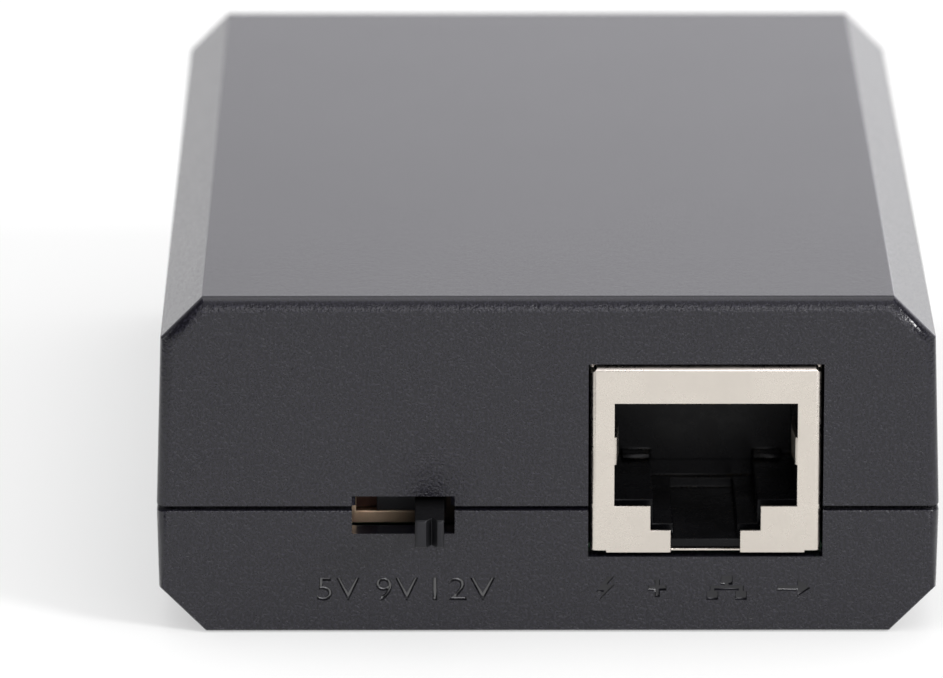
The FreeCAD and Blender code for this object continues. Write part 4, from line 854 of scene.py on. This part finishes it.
class SPLITTER_OT_board(bpy.types.Operator):
    """Solder mask, ferrite, tape, wire, sleeves and mouldings of the parts inside"""
    bl_idname = "splitter.board"
    bl_label = "Circuit board"

    def execute(self, context):
        mask = mottled_finish("Solder mask", (0.02, 0.13, 0.045), 0.35, coat=0.3, broad=120.0)
        ferrite = mottled_finish("Ferrite", (0.06, 0.06, 0.062), 0.6, fine=6000.0, depth=0.01 * MM)
        moulding = mottled_finish("Chip moulding", (0.022, 0.022, 0.024), 0.5, fine=7000.0)
        tape = mottled_finish("Yellow tape", (0.72, 0.5, 0.06), 0.3, coat=0.4, other=0.9)
        wire = mottled_finish("Enamelled wire", (0.62, 0.24, 0.08), 0.3, metallic=0.7, coat=0.5)
        lacquer = mottled_finish("Blue lacquer", (0.03, 0.12, 0.4), 0.25, coat=0.5)
        sleeve = mottled_finish("Capacitor sleeve", (0.02, 0.022, 0.045), 0.3, coat=0.3)
        bobbin = mottled_finish("Bobbin plastic", (0.03, 0.03, 0.032), 0.45)
        cores = ["transformer_core_front", "transformer_core_back", "inductor_core"]
        cans = ["input_capacitor", "output_capacitor_1", "output_capacitor_2"]
        chips = [
            "lan_magnetics", "bridge_rectifier_1", "bridge_rectifier_2", "power_device_controller",
            "optocoupler", "switching_transistor", "output_diode"]
        dress_nodes(["circuit_board"], mask)
        dress_nodes(cores, ferrite)
        dress_nodes(["transformer_bobbin"], bobbin)
        dress_nodes(["transformer_winding"], tape)
        dress_nodes(["inductor_coil"], wire)
        dress_nodes(["safety_capacitor"], lacquer)
        dress_nodes(cans, sleeve)
        dress_nodes(chips, moulding)
        return {"FINISHED"}


# The stage


def mixed(tree, factor, first, second):
    """The first shader where the factor is 0, and the second where it is 1."""
    mix = tree.nodes.new("ShaderNodeMixShader")
    for number, source in enumerate((factor, first, second)):
        tree.links.new(source, mix.inputs[number])
    return mix.outputs[0]


def seen_white(tree, shader, background):
    """Shows white to the camera and in reflections, and the given shader to the light."""
    path = tree.nodes.new("ShaderNodeLightPath")
    seen = combined(
        tree, "MAXIMUM", path.outputs["Is Camera Ray"], path.outputs["Is Glossy Ray"],
        path.outputs["Is Transmission Ray"])
    return mixed(tree, seen, shader, background)


def room_part(tree, direction, fades, elsewhere, strength):
    """The light from one part of the room, which fades to another value outside it."""
    parts = [ramp(tree, direction.outputs[axis], *ends) for axis, *ends in fades]
    highest = elsewhere + HIGHEST_FADE * (strength - elsewhere)
    return ramp(tree, combined(tree, "MULTIPLY", *parts), 0, HIGHEST_FADE, elsewhere, highest)


def make_sky(look):
    """White to the camera, even light, and in reflections a backdrop and a softbox in a dim room."""
    world = bpy.data.worlds.new("Studio")
    bpy.context.scene.world = world
    world.use_nodes = True
    tree = world.node_tree
    place = tree.nodes.new("ShaderNodeTexCoord")
    parts = tree.nodes.new("ShaderNodeSeparateXYZ")
    tree.links.new(place.outputs["Generated"], parts.inputs[0])
    strength = combined(
        tree, "ADD", room_part(tree, parts, BACKDROP, look.room, look.backdrop),
        room_part(tree, parts, SOFTBOX, 0, look.softbox),
        room_part(tree, parts, OVERHEAD, 0, look.overhead))
    path = tree.nodes.new("ShaderNodeLightPath")
    light = tree.nodes["Background"]
    light.inputs["Color"].default_value = (1, 1, 1, 1)
    light.inputs["Strength"].default_value = look.sky
    mirrored_light = tree.nodes.new("ShaderNodeBackground")
    mirrored_light.inputs["Color"].default_value = ROOM_TINT
    tree.links.new(strength, mirrored_light.inputs["Strength"])
    white = tree.nodes.new("ShaderNodeBackground")
    white.inputs["Strength"].default_value = 1.0
    surface = light.outputs[0]
    for ray, shader in (("Is Glossy Ray", mirrored_light), ("Is Transmission Ray", white),
                        ("Is Camera Ray", white)):
        surface = mixed(tree, path.outputs[ray], surface, shader.outputs[0])
    tree.links.new(surface, tree.nodes["World Output"].inputs["Surface"])


def make_floor(look):
    """A white table that keeps shadows and lets the camera look up through it."""
    bm = bmesh.new()
    lifted = Matrix.Translation((0, 0, FLOOR_LIFT))
    bmesh.ops.create_grid(bm, x_segments=1, y_segments=1, size=FLOOR_REACH, matrix=lifted)
    floor = new_piece("table", bm)
    material = bpy.data.materials.new("White table")
    material.use_nodes = True
    tree = material.node_tree
    tree.nodes.remove(tree.nodes["Principled BSDF"])
    paint = tree.nodes.new("ShaderNodeBsdfDiffuse")
    paint.inputs["Color"].default_value = (*look.floor, 1)
    glow = tree.nodes.new("ShaderNodeEmission")
    glow.inputs["Strength"].default_value = look.glow
    both = tree.nodes.new("ShaderNodeAddShader")
    tree.links.new(paint.outputs[0], both.inputs[0])
    tree.links.new(glow.outputs[0], both.inputs[1])
    surface = seen_white(tree, paint.outputs[0], both.outputs[0])
    clear = tree.nodes.new("ShaderNodeBsdfTransparent")
    geometry = tree.nodes.new("ShaderNodeNewGeometry")
    sides = mixed(tree, geometry.outputs["Backfacing"], surface, clear.outputs[0])
    tree.links.new(sides, tree.nodes["Material Output"].inputs["Surface"])
    floor.data.materials.append(material)


def make_lamp(name, place, size, power):
    """A round lamp that the camera doesn't see, aimed at the case."""
    light = bpy.data.lights.new(name, "AREA")
    light.shape = "DISK"
    light.size = size
    light.energy = power
    lamp = bpy.data.objects.new(name, light)
    lamp.visible_camera = False
    lamp.location = place
    aim = Vector(LAMP_TARGET) - Vector(place)
    lamp.rotation_euler = aim.to_track_quat("-Z", "Y").to_euler()
    bpy.context.scene.collection.objects.link(lamp)


def make_camera(look):
    """The camera, whose focus stays on the front face wherever it is moved."""
    camera = bpy.data.cameras.new("camera")
    camera.lens = look.focal_length
    camera.sensor_width = SENSOR_WIDTH
    camera.clip_start, camera.clip_end = CLIP_RANGE
    sharp_point = bpy.data.objects.new("sharp point", None)
    sharp_point.location = look.target
    bpy.context.scene.collection.objects.link(sharp_point)
    camera.dof.use_dof = True
    camera.dof.focus_object = sharp_point
    camera.dof.aperture_fstop = look.f_number
    level = math.cos(look.pitch)
    ahead = Vector((math.sin(look.yaw) * level, math.cos(look.yaw) * level, -math.sin(look.pitch)))
    holder = bpy.data.objects.new("camera", camera)
    holder.location = Vector(look.target) - ahead * look.distance
    holder.rotation_euler = ahead.to_track_quat("-Z", "Y").to_euler()
    bpy.context.scene.collection.objects.link(holder)
    bpy.context.scene.camera = holder


class SPLITTER_OT_stage(bpy.types.Operator):
    """White table, soft lamps and the camera"""
    bl_idname = "splitter.stage"
    bl_label = "Stage"

    def execute(self, context):
        look = context.scene.splitter_stage
        context.scene.view_settings.view_transform = "Standard"
        make_camera(look)
        make_sky(look)
        make_floor(look)
        make_lamp("key", *KEY_LAMP, look.key_power)
        make_lamp("top", *TOP_LAMP, look.top_power)
        return {"FINISHED"}


class SPLITTER_PT_panel(bpy.types.Panel):
    """Lists the steps of the splitter's looks"""
    bl_idname = "SPLITTER_PT_panel"
    bl_label = "Splitter"
    bl_space_type = "VIEW_3D"
    bl_region_type = "UI"
    bl_category = "Splitter"

    def draw(self, context):
        for operator in OPERATORS:
            self.layout.operator(operator.bl_idname)


LOOKS = {
    "splitter_case": CaseLook,
    "splitter_jack": JackLook,
    "splitter_switch": SwitchLook,
    "splitter_stage": StageLook,
}
OPERATORS = (
    SPLITTER_OT_stage, SPLITTER_OT_case, SPLITTER_OT_jacks, SPLITTER_OT_switch, SPLITTER_OT_outlet,
    SPLITTER_OT_screws, SPLITTER_OT_board,
)


def register():
    for look in LOOKS.values():
        bpy.utils.register_class(look)
    for name, look in LOOKS.items():
        setattr(bpy.types.Scene, name, bpy.props.PointerProperty(type=look))
    for operator in (*OPERATORS, SPLITTER_PT_panel):
        bpy.utils.register_class(operator)


def unregister():
    for operator in (SPLITTER_PT_panel, *reversed(OPERATORS)):
        bpy.utils.unregister_class(operator)
    for name, look in reversed(LOOKS.items()):
        delattr(bpy.types.Scene, name)
        bpy.utils.unregister_class(look)


def main():
    register()
    bpy.ops.splitter.stage()
    bpy.ops.splitter.case()
    bpy.ops.splitter.jacks()
    bpy.ops.splitter.switch()
    bpy.ops.splitter.outlet()
    bpy.ops.splitter.screws()
    bpy.ops.splitter.board()


if __name__ == "__main__":
    main()
